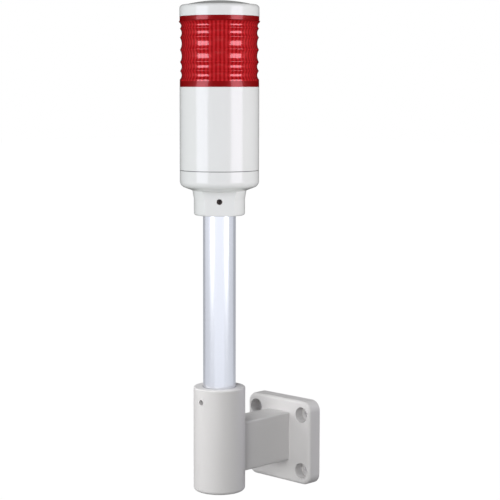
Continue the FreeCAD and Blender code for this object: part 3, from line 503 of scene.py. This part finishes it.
@dataclass
class Form:
    """A mesh being made, in millimetres for a piece and in metres for the studio."""

    name: str
    mesh: bmesh.types.BMesh = field(default_factory=bmesh.new)
    sharp_angle: float = math.radians(35.0)
    smallest_edge: float = 0.002

    def turned(
        self, profile: Profile, steps: int, slot: int = 0, closed: bool = True, place: Matrix = HOME
    ) -> list[list[bmesh.types.BMVert]]:
        """Turns a profile about Z.

        Args:
            profile: radius and level of each ring; a radius may be worked out for each step, and
                a radius of 0 is a point on the axis.
            steps: how many steps go round.
            slot: the material slot.
            closed: whether the last ring joins the first.
            place: where the turned shape goes.

        Returns:
            The rings of vertices.
        """
        rings = []
        for radius, level in profile:
            count = 1 if radius == 0 else steps
            ring = []
            for k in range(count):
                angle = 2 * math.pi * k / steps
                r = radius(k) if callable(radius) else radius
                point = Vector((r * math.cos(angle), r * math.sin(angle), level))
                ring.append(self.mesh.verts.new(place @ point))
            rings.append(ring * (steps // count))
        for low, high in zip(rings, rings[1:] + (rings[:1] if closed else [])):
            for k in range(steps):
                n = (k + 1) % steps
                corners = list(dict.fromkeys((low[k], low[n], high[n], high[k])))
                if len(corners) > 2:
                    face = self.mesh.faces.new(corners)
                    face.smooth = True
                    face.material_index = slot
        return rings

    def block(
        self, centre: Size, size: Size, bevel: float = 0.0, slot: int = 0, place: Matrix = HOME
    ) -> None:
        """Adds a block with bevelled edges.

        Args:
            centre: its middle.
            size: its sides.
            bevel: width of the bevel.
            slot: the material slot.
            place: turns and moves the whole block.
        """
        verts = bmesh.ops.create_cube(self.mesh, size=1.0)["verts"]
        shape = place @ Matrix.Translation(centre) @ Matrix.Diagonal((*size, 1.0))
        bmesh.ops.transform(self.mesh, matrix=shape, verts=verts)
        for face in (f for v in verts for f in v.link_faces):
            face.material_index = slot
        if bevel > 0:
            edges = list(dict.fromkeys(e for v in verts for e in v.link_edges))
            bmesh.ops.bevel(
                self.mesh, geom=edges, offset=bevel, segments=2, profile=0.5, affect="EDGES"
            )

    def end(self) -> bpy.types.Object:
        """Puts the mesh into the scene; the form is used up.

        Returns:
            The object that holds it.
        """
        data = bpy.data.meshes.new(self.name)
        self.mesh.to_mesh(data)
        self.mesh.free()
        return put(self.name, data)

    def carve(self, tool: "Form") -> None:
        """Cuts another form out of this one.

        Args:
            tool: the form that is taken away; it is used up.
        """
        for form in (self, tool):
            bmesh.ops.recalc_face_normals(form.mesh, faces=form.mesh.faces)
        holders = [self.end(), tool.end()]
        cut = holders[0].modifiers.new("cut", "BOOLEAN")
        cut.operation, cut.solver, cut.object = "DIFFERENCE", "EXACT", holders[1]
        bpy.context.view_layer.update()
        done = holders[0].evaluated_get(bpy.context.evaluated_depsgraph_get())
        self.mesh = bmesh.new()
        self.mesh.from_mesh(done.to_mesh())
        done.to_mesh_clear()
        bmesh.ops.dissolve_degenerate(self.mesh, dist=self.smallest_edge, edges=self.mesh.edges)
        for holder in holders:
            data = holder.data
            bpy.data.objects.remove(holder)
            bpy.data.meshes.remove(data)

    def piece(
        self, finishes: list[Finish], body: str, place: Matrix, slot: str, *nodes: str
    ) -> None:
        """Ends the form as a piece of the scene, with its edges sharp where faces meet steeply.

        Args:
            finishes: one finish for each material slot.
            body: the body that it rides on.
            place: from the sub-assembly's millimetres to the scene's metres.
            slot: the record's material slot; not used.
            nodes: nodes of the frame that it stands for.
        """
        bmesh.ops.recalc_face_normals(self.mesh, faces=self.mesh.faces)
        for edge in self.mesh.edges:
            edge.smooth = len(edge.link_faces) == 2 and edge.calc_face_angle(0.0) < self.sharp_angle
        bmesh.ops.transform(self.mesh, matrix=place, verts=self.mesh.verts)
        made = self.end()
        for finish in finishes:
            made.data.materials.append(finish.material())
        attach(made, body)
        if nodes:
            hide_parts(*nodes)
        LOG.info("%s: %d faces", self.name, len(made.data.polygons))


@dataclass(frozen=True)
class Screws:
    """Pan head screws that stand upright round a ring, their heads bearing at level 0."""

    name: str
    ring: float
    first_bearing: float
    shank: float
    length: float
    head: float
    rise: float
    recess: Recess
    count: int = 3
    steps: int = 24
    plain: float = 0.6
    runout: float = 0.2
    pitch_share: float = 0.45
    root_share: float = 0.86
    recess_shares: Size = (1.15, 0.24, 0.9)

    def profile(self) -> Profile:
        """A screw's profile from the tip, up the thread and over the head.

        Returns:
            Rings as radius and level.
        """
        shank, head, rise = self.shank, self.head, self.rise
        pitch = shank * self.pitch_share
        points: Profile = [(0.0, -self.length), (shank * 0.6, -self.length)]
        for k in reversed(range(int((self.length - self.plain - self.runout) / pitch))):
            points.append((shank * self.root_share, -self.plain - (k + 0.5) * pitch))
            points.append((shank, -self.plain - k * pitch))
        points += [(shank, -0.1), (shank, 0.0), (head, 0.0), (head, rise * 0.45)]
        return points + [(head * 0.93, rise * 0.72), (head * 0.72, rise * 0.93), (0.0, rise)]

    def form(self) -> Form:
        """All the screws; the recesses are cut one arm at a time.

        Returns:
            The form.
        """
        form = Form(self.name)
        out = Matrix.Translation((self.ring, 0.0, 0.0))
        bearings = [self.first_bearing + 360.0 * k / self.count for k in range(self.count)]
        stands = [turn(bearing) @ out for bearing in bearings]
        for stand in stands:
            form.turned(self.profile(), self.steps, closed=False, place=stand)
        long, wide, deep = self.recess_shares
        cut = (self.head * long, self.head * wide, self.rise * deep)
        for arm in self.recess.value:
            tool = Form(f"{self.name}_recess")
            for stand in stands:
                tool.block((0.0, 0.0, self.rise), cut, place=stand @ turn(arm))
            form.carve(tool)
        return form


# ---- sub-assemblies


def dress(**finishes: Finish) -> None:
    """Gives nodes of the frame their finishes.

    Args:
        finishes: a finish for each node's name.
    """
    for name, finish in finishes.items():
        materials = frame["nodes"][name].data.materials
        materials.clear()
        materials.append(finish.material())
        LOG.info("%s: %s", name, finish.name)


@dataclass
class WallBracket:
    """Plate, arm and socket in grey plastic, with the set screw that holds the pole."""

    core_depth: float = 8.0
    mark_radius: float = 2.4
    mark_width: float = 0.35
    mark_rise: float = 0.12
    mark_across: float = 15.0
    mark_up: float = 8.0
    mark_steps: int = 32

    def build(self) -> None:
        """Dresses the bracket and builds the marks."""
        dress(bracket=GREY_BRACKET, bracket_insert=BRASS, bracket_set_screw=BLACKED_STEEL)
        self.ejector_marks()

    def ejector_marks(self) -> None:
        """Thin rings that the mould's ejector pins left in the cored back."""
        form = Form("ejector_marks")
        radius, rise = self.mark_radius, self.mark_rise
        profile = section(radius - self.mark_width, radius, -rise, rise)
        floor = Matrix.Translation((0.0, -self.core_depth, 0.0))
        lie = floor @ Matrix.Rotation(-math.pi / 2, 4, "X")
        for across in (-self.mark_across, self.mark_across):
            for up in (-self.mark_up, self.mark_up):
                spot = Matrix.Translation((across, up, 0.0))
                form.turned(profile, self.mark_steps, place=lie @ spot)
        form.piece([GREY_BRACKET], "bracket", Matrix.Scale(MM, 4), "bracket_plastic")


@dataclass
class Pole:
    """Drawn aluminium tube and the grommet in its head."""

    def build(self) -> None:
        """Dresses the tube and the grommet."""
        dress(pole=POLE_METAL, pole_grommet=BLACK_RUBBER)


@dataclass
class Base:
    """Base, housing and their seal."""

    def build(self) -> None:
        """Dresses the mouldings, the insert and the set screw."""
        dress(base=WHITE_ABS, housing=WHITE_ABS, base_gasket=SEAL_RUBBER)
        dress(head_insert=BRASS, head_set_screw=WORN_STEEL)


@dataclass
class Lantern:
    """Red lens: rounded rings outside, upright ribs inside, a ledge with three notches on top."""

    place: Matrix
    body: str = "head"
    height: float = 52.4
    radius: float = 29.9
    foot_band: float = 5.4
    polished_edge: float = 1.1
    top_band: float = 4.0
    lip: float = 0.6
    lip_height: float = 0.9
    ridge_radius: float = 29.7
    hollow_depth: float = 1.3
    end_depth: float = 1.35
    pitches: tuple[float, ...] = (6.5, 6.6, 9.2, 9.2, 6.6, 4.9)
    ridge_width: float = 0.3
    hollow_steps: int = 12
    ribs: int = 60
    steps_per_rib: int = 4
    rib_crest: float = 25.9
    rib_valley: float = 26.8
    bore: float = 25.8
    rib_foot: float = 2.7
    spigot: float = 27.45
    spigot_depth: float = 5.0
    ledge: float = 24.0
    ledge_thickness: float = 2.6
    notch_radius: float = 25.35
    notch_bearing: float = 30.0
    notch_angle: float = 28.0

    def finish(self) -> TintedClear:
        """The red plastic, fitted to the axis and the rings.

        Returns:
            The finish.
        """
        middle = self.place.translation
        low, high = self.foot_band - self.polished_edge, self.height - self.top_band
        return TintedClear(
            "red_lantern",
            # The full red, which is also the pale red of the painted prism highlights.
            (1.0, 0.035, 0.045),
            (0.26, 0.34),
            axis=(middle.x, middle.y),
            rings=(middle.z + low * MM, middle.z + high * MM),
        )

    def build(self) -> None:
        """Builds the lens and dresses its gasket."""
        dress(lens_gasket=SEAL_RUBBER, lens=self.finish())
        self.lens()

    def ridges(self) -> list[Pair]:
        """Radius and level of the ridges, from the foot band to the lip.

        Returns:
            The ridges.
        """
        level = self.foot_band
        found = [(self.radius, level)]
        for pitch in self.pitches[:-1]:
            level += pitch
            found.append((self.ridge_radius, level))
        found.append((self.radius + self.lip, self.height - self.top_band))
        return found

    def sharp_radius(self, level: float) -> float:
        """Radius of the outside at a level, with ridges not yet rounded.

        Args:
            level: height above the lens's foot.

        Returns:
            The radius.
        """
        ridges = self.ridges()
        if level <= self.foot_band:
            return self.radius
        for k, (low, high) in enumerate(zip(ridges, ridges[1:])):
            if level <= high[1]:
                share = (level - low[1]) / (high[1] - low[1])
                depth = self.end_depth if k in (0, len(ridges) - 2) else self.hollow_depth
                chord = low[0] + (high[0] - low[0]) * share
                return chord - depth * 4 * share * (1 - share)
        return self.radius + self.lip

    def outline(self) -> Profile:
        """The outside from the foot band to the lip, its ridges rounded.

        Returns:
            Rings as radius and level.
        """
        points: Profile = []
        ridges = self.ridges()
        for k, (low, high) in enumerate(zip(ridges, ridges[1:])):
            for step in range(min(k, 1), self.hollow_steps + 1):
                share = (1 - math.cos(math.pi * step / self.hollow_steps)) / 2
                level = low[1] + (high[1] - low[1]) * share
                spans = [level + self.ridge_width * (j / 4 - 1) for j in range(9)]
                points.append((sum(map(self.sharp_radius, spans)) / len(spans), level))
        return points

    def rib(self, step: int) -> float:
        """Radius of the ribbed bore at a step round the lens."""
        share = abs(2 * (step % self.steps_per_rib) / self.steps_per_rib - 1)
        return self.rib_crest + (self.rib_valley - self.rib_crest) * share**2

    def ledge_edge(self, step: int) -> float:
        """Radius of the ledge's inner edge.

        Args:
            step: step round the lens.

        Returns:
            The radius, larger in a notch.
        """
        bearing = 360.0 * step / (self.ribs * self.steps_per_rib)
        off = abs((bearing - self.notch_bearing + 60.0) % 120.0 - 60.0)
        return self.notch_radius if off < self.notch_angle / 2 else self.ledge

    def lens(self) -> None:
        """The lens as one closed shape."""
        crown = self.height - self.top_band
        ledge_foot = self.height - self.ledge_thickness
        out, lip, lip_height = self.radius, self.lip, self.lip_height
        foot = [(self.spigot, -self.spigot_depth), (self.spigot, 0.0), (out, 0.0)]
        rim = [
            (out + lip, crown + lip_height / 2),
            (out + lip * 0.6, crown + lip_height * 0.85),
            (out, crown + lip_height),
            (out, self.height),
        ]
        inside = [
            (self.ledge_edge, self.height),
            (self.ledge_edge, ledge_foot),
            (self.bore, ledge_foot),
            (self.bore, crown),
            (self.rib, crown),
            (self.rib, self.rib_foot),
            (self.bore, self.rib_foot),
            (self.bore, -self.spigot_depth),
        ]
        form = Form("lantern_lens")
        form.turned(foot + self.outline() + rim + inside, self.ribs * self.steps_per_rib)
        form.piece([self.finish()], self.body, self.place, "red_lens", "lens")


@dataclass
class Cap:
    """Domed cap and its gasket."""

    def build(self) -> None:
        """Dresses the cap and its gasket."""
        dress(cap=WHITE_ABS, cap_gasket=SEAL_RUBBER)


@dataclass
class LampUnit:
    """Six strips of light chips on a column, with the board below them."""

    place: Matrix
    body: str = "head"
    column_flats: float = 18.0
    strip_thickness: float = 1.0
    strip_height: float = 41.0
    sides: int = 6
    chips: int = 4
    chip_pitch: float = 9.5
    chip_side: float = 3.5
    chip_frame: float = 0.8
    chip_height: float = 1.0
    chip_bevel: float = 0.18
    window: float = 1.33
    window_steps: int = 24
    window_sunk: float = 0.05
    resistor: Size = (0.5, 1.3, 1.1)
    resistor_end: Size = (0.52, 0.4, 1.12)
    resistor_reach: float = 0.85
    resistor_bevel: float = 0.08
    pad: Size = (0.24, 1.5, 1.9)
    pad_reach: float = 2.4
    pad_level: float = 1.6
    pad_bevel: float = 0.1
    screws: Screws = Screws(
        "tie_screw_set", 20.3, 0.0, 1.5, length=59.7, head=2.75, rise=2.0, recess=Recess.CROSS
    )

    def build(self) -> None:
        """Dresses the nodes and builds chips, resistors and screws."""
        dress(lamp_board=BOARD, led_column=COLUMN_PLASTIC, led_boards=WHITE_BOARD)
        dress(led_chips=CHIP_FRAME, contact_pins=BRASS, tie_inserts=BRASS, tie_screws=STEEL)
        self.light_chips()
        self.resistors()
        self.screws.form().piece([STEEL], self.body, self.place, "screw_steel", "tie_screws")

    def strips(self) -> list[Matrix]:
        """A place on each strip's face, at its foot, with X pointing out."""
        face = Matrix.Translation((self.column_flats / 2 + self.strip_thickness, 0.0, 0.0))
        return [turn(360.0 * side / self.sides) @ face for side in range(self.sides)]

    def levels(self) -> list[float]:
        """Middle of each chip above the lamp board."""
        first = (self.strip_height - (self.chips - 1) * self.chip_pitch) / 2
        return [first + k * self.chip_pitch for k in range(self.chips)]

    def light_chips(self) -> None:
        """Chips with a white frame and a domed yellow window."""
        form = Form("light_chips")
        depth, radius = self.chip_frame, self.window
        shell = (depth, self.chip_side, self.chip_side)
        rise = self.chip_height - depth
        dome = [(0.0, -self.window_sunk), (radius, -self.window_sunk), (radius, 0.02)]
        dome += [(radius * 0.8, rise * 0.6), (radius * 0.4, rise * 0.93), (0.0, rise)]
        upward = Matrix.Rotation(math.pi / 2, 4, "Y")
        for strip in self.strips():
            for level in self.levels():
                form.block((depth / 2, 0.0, level), shell, self.chip_bevel, place=strip)
                lie = strip @ Matrix.Translation((depth, 0.0, level)) @ upward
                form.turned(dome, self.window_steps, slot=1, closed=False, place=lie)
        form.piece([CHIP_FRAME, PHOSPHOR], self.body, self.place, "light_chip", "led_chips")

    def resistors(self) -> None:
        """A small resistor between the chips of each strip, and two solder pads at its foot."""
        middles = [level + self.chip_pitch / 2 for level in self.levels()[:-1]]
        parts = [(self.resistor, 0.0, middle, self.resistor_bevel, 0) for middle in middles]
        for way in (-1, 1):
            across = way * self.resistor_reach
            parts += [(self.resistor_end, across, z, self.resistor_bevel, 1) for z in middles]
            parts.append((self.pad, way * self.pad_reach, self.pad_level, self.pad_bevel, 1))
        form = Form("strip_parts")
        for strip in self.strips():
            for size, across, level, bevel, slot in parts:
                form.block((size[0] / 2, across, level), size, bevel, slot, strip)
        form.piece([BLACK_CASE, SOLDER], self.body, self.place, "circuit_board")


@dataclass
class ControlUnit:
    """Board with terminals, relay, timer chip and capacitors in the foot of the housing."""

    place: Matrix
    body: str = "head"
    can_radius: float = 3.4
    can_height: float = 12.5
    can_out: float = 15.4
    can_apart: float = 7.4
    can_steps: int = 32
    can_sunk: float = 0.18
    stripe_steps: int = 2
    vent_width: float = 0.22
    vent_depth: float = 0.1
    resistor_ring: float = 18.0
    resistor_bearings: tuple[float, ...] = (30.0, 150.0, 210.0, 330.0)
    resistor_length: float = 5.2
    resistor_radius: float = 0.85
    resistor_rise: float = 0.15
    resistor_steps: int = 20
    bands: tuple[tuple[float, int], ...] = ((-0.3, 1), (0.0, 2), (0.3, 1))
    band_half: float = 0.18
    leg_radius: float = 0.22
    leg_steps: int = 10
    leg_reach: float = 0.5
    foot_width: float = 0.42
    foot_bevel: float = 0.08
    screws: Screws = Screws(
        "board_screw_set", 20.3, 60.0, 1.2, length=6.6, head=2.3, rise=1.15, recess=Recess.SLOT
    )

    def build(self) -> None:
        """Dresses the nodes and builds capacitors, resistors and screws."""
        dress(control_board=BOARD, terminal_block=TERMINAL_PLASTIC, terminal_screws=STEEL)
        dress(relay=BLACK_CASE, flasher_chip=BLACK_CASE)
        dress(capacitors=CAN_SLEEVE, board_screws=STEEL)
        self.capacitors()
        self.resistors()
        self.screws.form().piece([STEEL], self.body, self.place, "screw_steel", "board_screws")

    def capacitors(self) -> None:
        """Two cans: crimped foot, sleeve with a pale stripe, metal top with a vent cross."""
        form = Form("capacitor_cans")
        r, top, steps = self.can_radius, self.can_height, self.can_steps
        sunk = top - self.can_sunk
        profile = [(0.0, 0.0), (r * 0.9, 0.0), (r, 0.4), (r, 1.6), (r * 0.93, 2.0), (r, 2.4)]
        profile += [(r, top - 0.5), (r * 0.96, top - 0.15), (r * 0.88, top)]
        profile += [(r * 0.84, sunk), (0.0, sunk)]
        vent = (r * 1.2, self.vent_width, self.vent_depth)
        for side in (-1, 1):
            stand = Matrix.Translation((-self.can_out, side * self.can_apart / 2, 0.0))
            rings = form.turned(profile, steps, closed=False, place=stand)
            for face in rings[-1][0].link_faces:
                face.material_index = 1
            for low, high in zip(rings[2:6], rings[3:7]):
                for k in range(-self.stripe_steps, self.stripe_steps):
                    for face in set(low[k].link_faces) & set(high[(k + 1) % steps].link_faces):
                        face.material_index = 2
            for arm in (0.0, 90.0):
                level = sunk + self.vent_depth / 2
                form.block((0.0, 0.0, level), vent, slot=1, place=stand @ turn(arm))
        finishes = [CAN_SLEEVE, STEEL, CAN_STRIPE]
        form.piece(finishes, self.body, self.place, "capacitor_can", "capacitors")

    def resistors(self) -> None:
        """Four resistors with colour bands and bent legs, lying along the board's rim."""
        form = Form("board_resistors")
        r, half, steps = self.resistor_radius, self.resistor_length / 2, self.resistor_steps
        body = [(0.0, -half), (r * 0.7, -half), (r, -half * 0.85)]
        body += [(r, -half * 0.55), (r * 0.86, -half * 0.45)]
        profile = body + [(radius, -level) for radius, level in body[::-1]]
        middle, end = r + self.resistor_rise, half + self.leg_reach
        foot = (self.foot_width, r + 0.55, self.foot_width)
        lift = Matrix.Translation((self.resistor_ring, 0.0, middle))
        flat = Matrix.Rotation(math.pi / 2, 4, "X")
        for bearing in self.resistor_bearings:
            lie = turn(bearing) @ lift @ flat
            form.turned(profile, steps, closed=False, place=lie)
            for share, slot in self.bands:
                low, high = share * half - self.band_half, share * half + self.band_half
                form.turned(section(r * 0.88, r * 0.9, low, high), steps, slot, place=lie)
            for way in (-1, 1):
                leg = section(0.0, self.leg_radius, way * (half - 0.1), way * end)
                form.turned(leg, self.leg_steps, 3, place=lie)
                form.block((0.0, -middle / 2, way * end), foot, self.foot_bevel, 3, lie)
        finishes = [RESISTOR_BODY, BAND_BROWN, BAND_RED, SOLDER]
        form.piece(finishes, self.body, self.place, "circuit_board")


# ---- studio


@dataclass(frozen=True)
class Softbox:
    """Rectangular lamp to the right of the camera by degrees, aimed at a level of the axis."""

    name: str
    turned: float
    height: float
    radiance: float
    size: Pair = (0.5, 0.7)
    colour: Colour = WHITE
    away: float = 0.9
    aim: float = 0.28
    reflected: bool = True


HEAD_FILLS = (
    Softbox("head_front", 0.0, -0.3, 3.7, reflected=False),
    Softbox("head_left", -80.0, 0.2, 2.2, reflected=False),
    Softbox("head_right", 80.0, 0.2, 1.9, reflected=False),
)
BRACKET_LAMPS = (
    Softbox("bracket_key", -18.0, 0.3, 6.6, (0.3, 0.7), (1.0, 1.0, 0.99), aim=0.0),
    Softbox("bracket_left", -90.0, 0.3, 4.3, aim=0.0),
    Softbox("bracket_top", -40.0, 1.1, 5.0, away=0.45, aim=0.0),
    Softbox("bracket_rim", 118.0, 0.1, 2.6, colour=(0.9, 0.88, 1.0), aim=0.0),
)


@dataclass
class Studio:
    """Floor, cards, lamps and camera round the pole's axis."""

    axis: Vector
    eye_level: float
    facing: float = 45.0
    distance: float = 1.145
    lens: float = 108.8
    sensor: float = 36.0
    clip: Pair = (0.05, 50.0)
    tilt: float = 6.0
    shift: Pair = (0.0611, -0.0085)
    fill: float = 0.6
    overhead: float = 0.6
    floor_level: float = -0.30
    floor_half: float = 12.0
    floor_paint: Colour = (0.2, 0.2, 0.2)
    floor_glow: float = 1.73
    floor_gloss: float = 0.35
    sun_strength: float = 4.1
    sun_width: float = 10.0
    sun_turned: float = -30.0
    sun_slope: float = 1.2
    card_radius: float = 1.6
    card_steps: int = 24
    card_foot: float = -0.29
    card_split: float = -0.05
    ceiling: float = 2.4
    box_turned: float = 51.0
    box_rise: float = 0.1

    def outward(self, turned: float) -> Vector:
        """Level direction from the axis, turned to the right from the camera's by degrees."""
        angle = math.radians(self.facing + turned)
        return Vector((math.sin(angle), -math.cos(angle), 0.0))

    @staticmethod
    def aim(thing: bpy.types.Object, way: Vector) -> None:
        """Turns a camera or lamp to look along a direction."""
        thing.rotation_euler = way.to_track_quat("-Z", "Y").to_euler()

    def camera(self) -> None:
        """Camera level with the lantern's foot, tilted down a little."""
        data = bpy.data.cameras.new("camera")
        data.lens, data.sensor_width = self.lens, self.sensor
        data.shift_x, data.shift_y = self.shift
        data.clip_start, data.clip_end = self.clip
        camera = put("camera", data)
        back = self.outward(0.0)
        camera.location = self.axis + back * self.distance + UP * self.eye_level
        self.aim(camera, -back - UP * math.tan(math.radians(self.tilt)))
        bpy.context.scene.camera = camera

    def softbox(self, box: Softbox, lights: bpy.types.Collection) -> None:
        """Stands a softbox up.

        Args:
            box: what it is and where it stands.
            lights: the pieces that it lights.
        """
        data = bpy.data.lights.new(box.name, "AREA")
        data.shape = "RECTANGLE"
        data.size, data.size_y = box.size
        data.energy = box.radiance * math.pi * box.size[0] * box.size[1]
        data.color = box.colour
        lamp = put(box.name, data)
        lamp.location = self.axis + self.outward(box.turned) * box.away + UP * box.height
        self.aim(lamp, self.axis + UP * box.aim - lamp.location)
        lamp.visible_glossy = box.reflected
        lamp.light_linking.receiver_collection = lights

    def sun(self, lights: bpy.types.Collection) -> None:
        """Soft slanting light that throws the object's shadow on the floor.

        Args:
            lights: what it lights.
        """
        data = bpy.data.lights.new("floor_sun", "SUN")
        data.energy = self.sun_strength
        data.angle = math.radians(self.sun_width)
        lamp = put("floor_sun", data)
        self.aim(lamp, -self.outward(self.sun_turned) - UP * self.sun_slope)
        lamp.light_linking.receiver_collection = lights

    def band(self, name: str, sector: Pair, levels: Pair) -> Form:
        """A strip curved round the axis.

        Args:
            name: its name.
            sector: degrees from the camera where it starts and stops.
            levels: its lower and upper edge.

        Returns:
            The form, in metres.
        """
        form = Form(name)
        rows = []
        for k in range(self.card_steps + 1):
            angle = sector[0] + (sector[1] - sector[0]) * k / self.card_steps
            out = self.outward(angle) * self.card_radius + self.axis
            rows.append([form.mesh.verts.new(out + UP * level) for level in levels])
        for a, b in zip(rows, rows[1:]):
            form.mesh.faces.new((a[0], b[0], b[1], a[1]))
        return form

    @staticmethod
    def stand(form: Form) -> tuple[bpy.types.Object, Bench]:
        """Ends a form as a part of the studio with an empty material.

        Args:
            form: its mesh, in metres.

        Returns:
            The part, and the writer of its material.
        """
        material = bpy.data.materials.new(form.name)
        made = form.end()
        made.data.materials.append(material)
        return made, Bench(material)

    @staticmethod
    def rays(bench: Bench) -> list[Wire]:
        """Tells kinds of rays apart.

        Args:
            bench: the node tree's writer.

        Returns:
            1 on camera, transmission and glossy rays in turn, 0 on others.
        """
        light = bench.add("LightPath")
        kinds = ("Camera", "Transmission", "Glossy")
        return [Wire(bench, light.outputs[f"Is {kind} Ray"]) for kind in kinds]

    def floor(self) -> None:
        """Wide pale floor, white to the camera outside the object's shadow, clear from below."""
        form = Form("floor")
        half = self.floor_half
        corners = [(-half, -half), (half, -half), (half, half), (-half, half)]
        form.mesh.faces.new([form.mesh.verts.new((x, y, self.floor_level)) for x, y in corners])
        bench = self.stand(form)[1]
        paint = bench.get("BsdfDiffuse", {"Color": self.floor_paint})
        white = bench.get("Emission", {"Color": WHITE, "Strength": self.floor_glow})
        clear = bench.get("BsdfTransparent")
        camera, transmission, glossy = self.rays(bench)
        seen = (camera + transmission) * 0.5 + glossy * self.floor_gloss
        shown = bench.get("MixShader", {0: seen, 1: paint, 2: white})
        below = bench.get("NewGeometry", output="Backfacing")
        both = bench.get("MixShader", {0: below, 1: shown, 2: clear})
        bench.add("OutputMaterial", {"Surface": both})

    def world(self) -> None:
        """White to the camera, to gloss and to glass, a fill that sinks upwards for the rest."""
        world = bpy.context.scene.world = bpy.data.worlds.new("studio")
        bench = Bench(world)
        camera, transmission, glossy = self.rays(bench)
        seen = camera + transmission + glossy
        up = bench.get("TexCoord", output="Generated").part("Z")
        strength = seen + (1.0 - seen) * up.span(self.fill, self.fill * self.overhead)
        glow = bench.get("Background", {"Color": WHITE, "Strength": strength})
        bench.add("OutputWorld", {"Surface": glow})

    @staticmethod
    def group(name: str, holders: tuple[str, ...]) -> bpy.types.Collection:
        """Pieces that a lamp lights.

        Args:
            name: the group's name.
            holders: bodies, or pieces by name.

        Returns:
            The group.
        """
        found = bpy.data.collections.new(name)
        for thing in bpy.data.objects:
            if thing.type == "MESH" and (thing.get("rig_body") in holders or thing.name in holders):
                found.objects.link(thing)
        return found

    def cards(self, tube: bpy.types.Collection) -> None:
        """Stands glowing cards all round that only glossy rays see.

        Args:
            tube: the pole's pieces; the cards are black to all others.
        """
        low, middle, high = self.card_foot, self.card_split, self.ceiling
        cards = []
        for name, sector, levels, glow in (
            ("front_wall", (-80.0, 68.0), (middle, high), 1.1),
            ("right_wall", (68.0, 112.0), (middle, high), 0.78),
            ("back_wall", (112.0, 240.0), (low, high), 0.45),
            ("left_wall", (240.0, 280.0), (middle, high), 0.88),
            ("front_skirting", (-35.0, 35.0), (low, middle), 1.05),
            ("right_skirting", (35.0, 112.0), (low, middle), 0.72),
            ("left_skirting", (240.0, 325.0), (low, middle), 0.7),
        ):
            colour = (glow * 0.95, glow * 0.97, glow * 1.03)
            cards.append((self.band(name, sector, levels), colour))
        steps = 2 * self.card_steps
        rim = [self.outward(360.0 * k / steps) * self.card_radius + self.axis for k in range(steps)]
        for name, level in (("ground", low), ("ceiling", high)):
            form = Form(name)
            form.mesh.faces.new([form.mesh.verts.new(out + UP * level) for out in rim])
            cards.append((form, (0.7, 0.72, 0.76)))
        for form, colour in cards:
            made, bench = self.stand(form)
            made.visible_camera = made.visible_shadow = False
            made.visible_transmission = made.visible_diffuse = False
            made.light_linking.receiver_collection = tube
            shader = bench.get("Emission", {"Color": colour, "Strength": 1.0})
            bench.add("OutputMaterial", {"Surface": shader})

    def build(self) -> None:
        """Sets up the whole studio; the object's pieces are already there."""
        self.camera()
        self.world()
        self.floor()
        head = self.group("head_lit", ("head", "cap"))
        tube = self.group("pole_lit", ("pole",))
        foot = self.group("bracket_lit", ("bracket",))
        self.sun(self.group("floor_lit", ("floor",)))
        self.cards(tube)
        level = self.eye_level + self.box_rise
        for name, way, tint in (("left", -1, (1.0, 1.0, 1.15)), ("right", 1, (1.08, 1.0, 1.15))):
            turned = way * self.box_turned
            self.softbox(Softbox(f"{name}_box", turned, level, 2.3, (0.585, 0.62), tint), head)
            self.softbox(Softbox(f"{name}_pole_box", turned, level, 1.2, (0.45, 0.7)), tube)
        for box in HEAD_FILLS:
            self.softbox(box, head)
        for box in BRACKET_LAMPS:
            self.softbox(box, foot)


# ---- making


def main() -> None:
    """Builds the scene."""
    logging.basicConfig(level=logging.INFO, format="%(message)s")
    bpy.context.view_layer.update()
    low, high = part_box("pole")
    axis = Vector(((low.x + high.x) / 2, (low.y + high.y) / 2, 0.0))
    lens_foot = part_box("housing")[1].z

    def in_head(level: float) -> Matrix:
        """From millimetres about the axis, above a level, to the scene."""
        return Matrix.Translation((axis.x, axis.y, level)) @ turn(45.0) @ Matrix.Scale(MM, 4)

    assemblies = [
        WallBracket(),
        Pole(),
        Base(),
        Lantern(in_head(lens_foot)),
        Cap(),
        LampUnit(in_head(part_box("lamp_board")[1].z)),
        ControlUnit(in_head(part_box("control_board")[1].z)),
    ]
    for assembly in assemblies:
        assembly.build()
        LOG.info("%s built", type(assembly).__name__)
    Studio(axis=axis, eye_level=lens_foot).build()
    bpy.context.scene.view_settings.view_transform = "Standard"


if __name__ == "__main__":
    main()
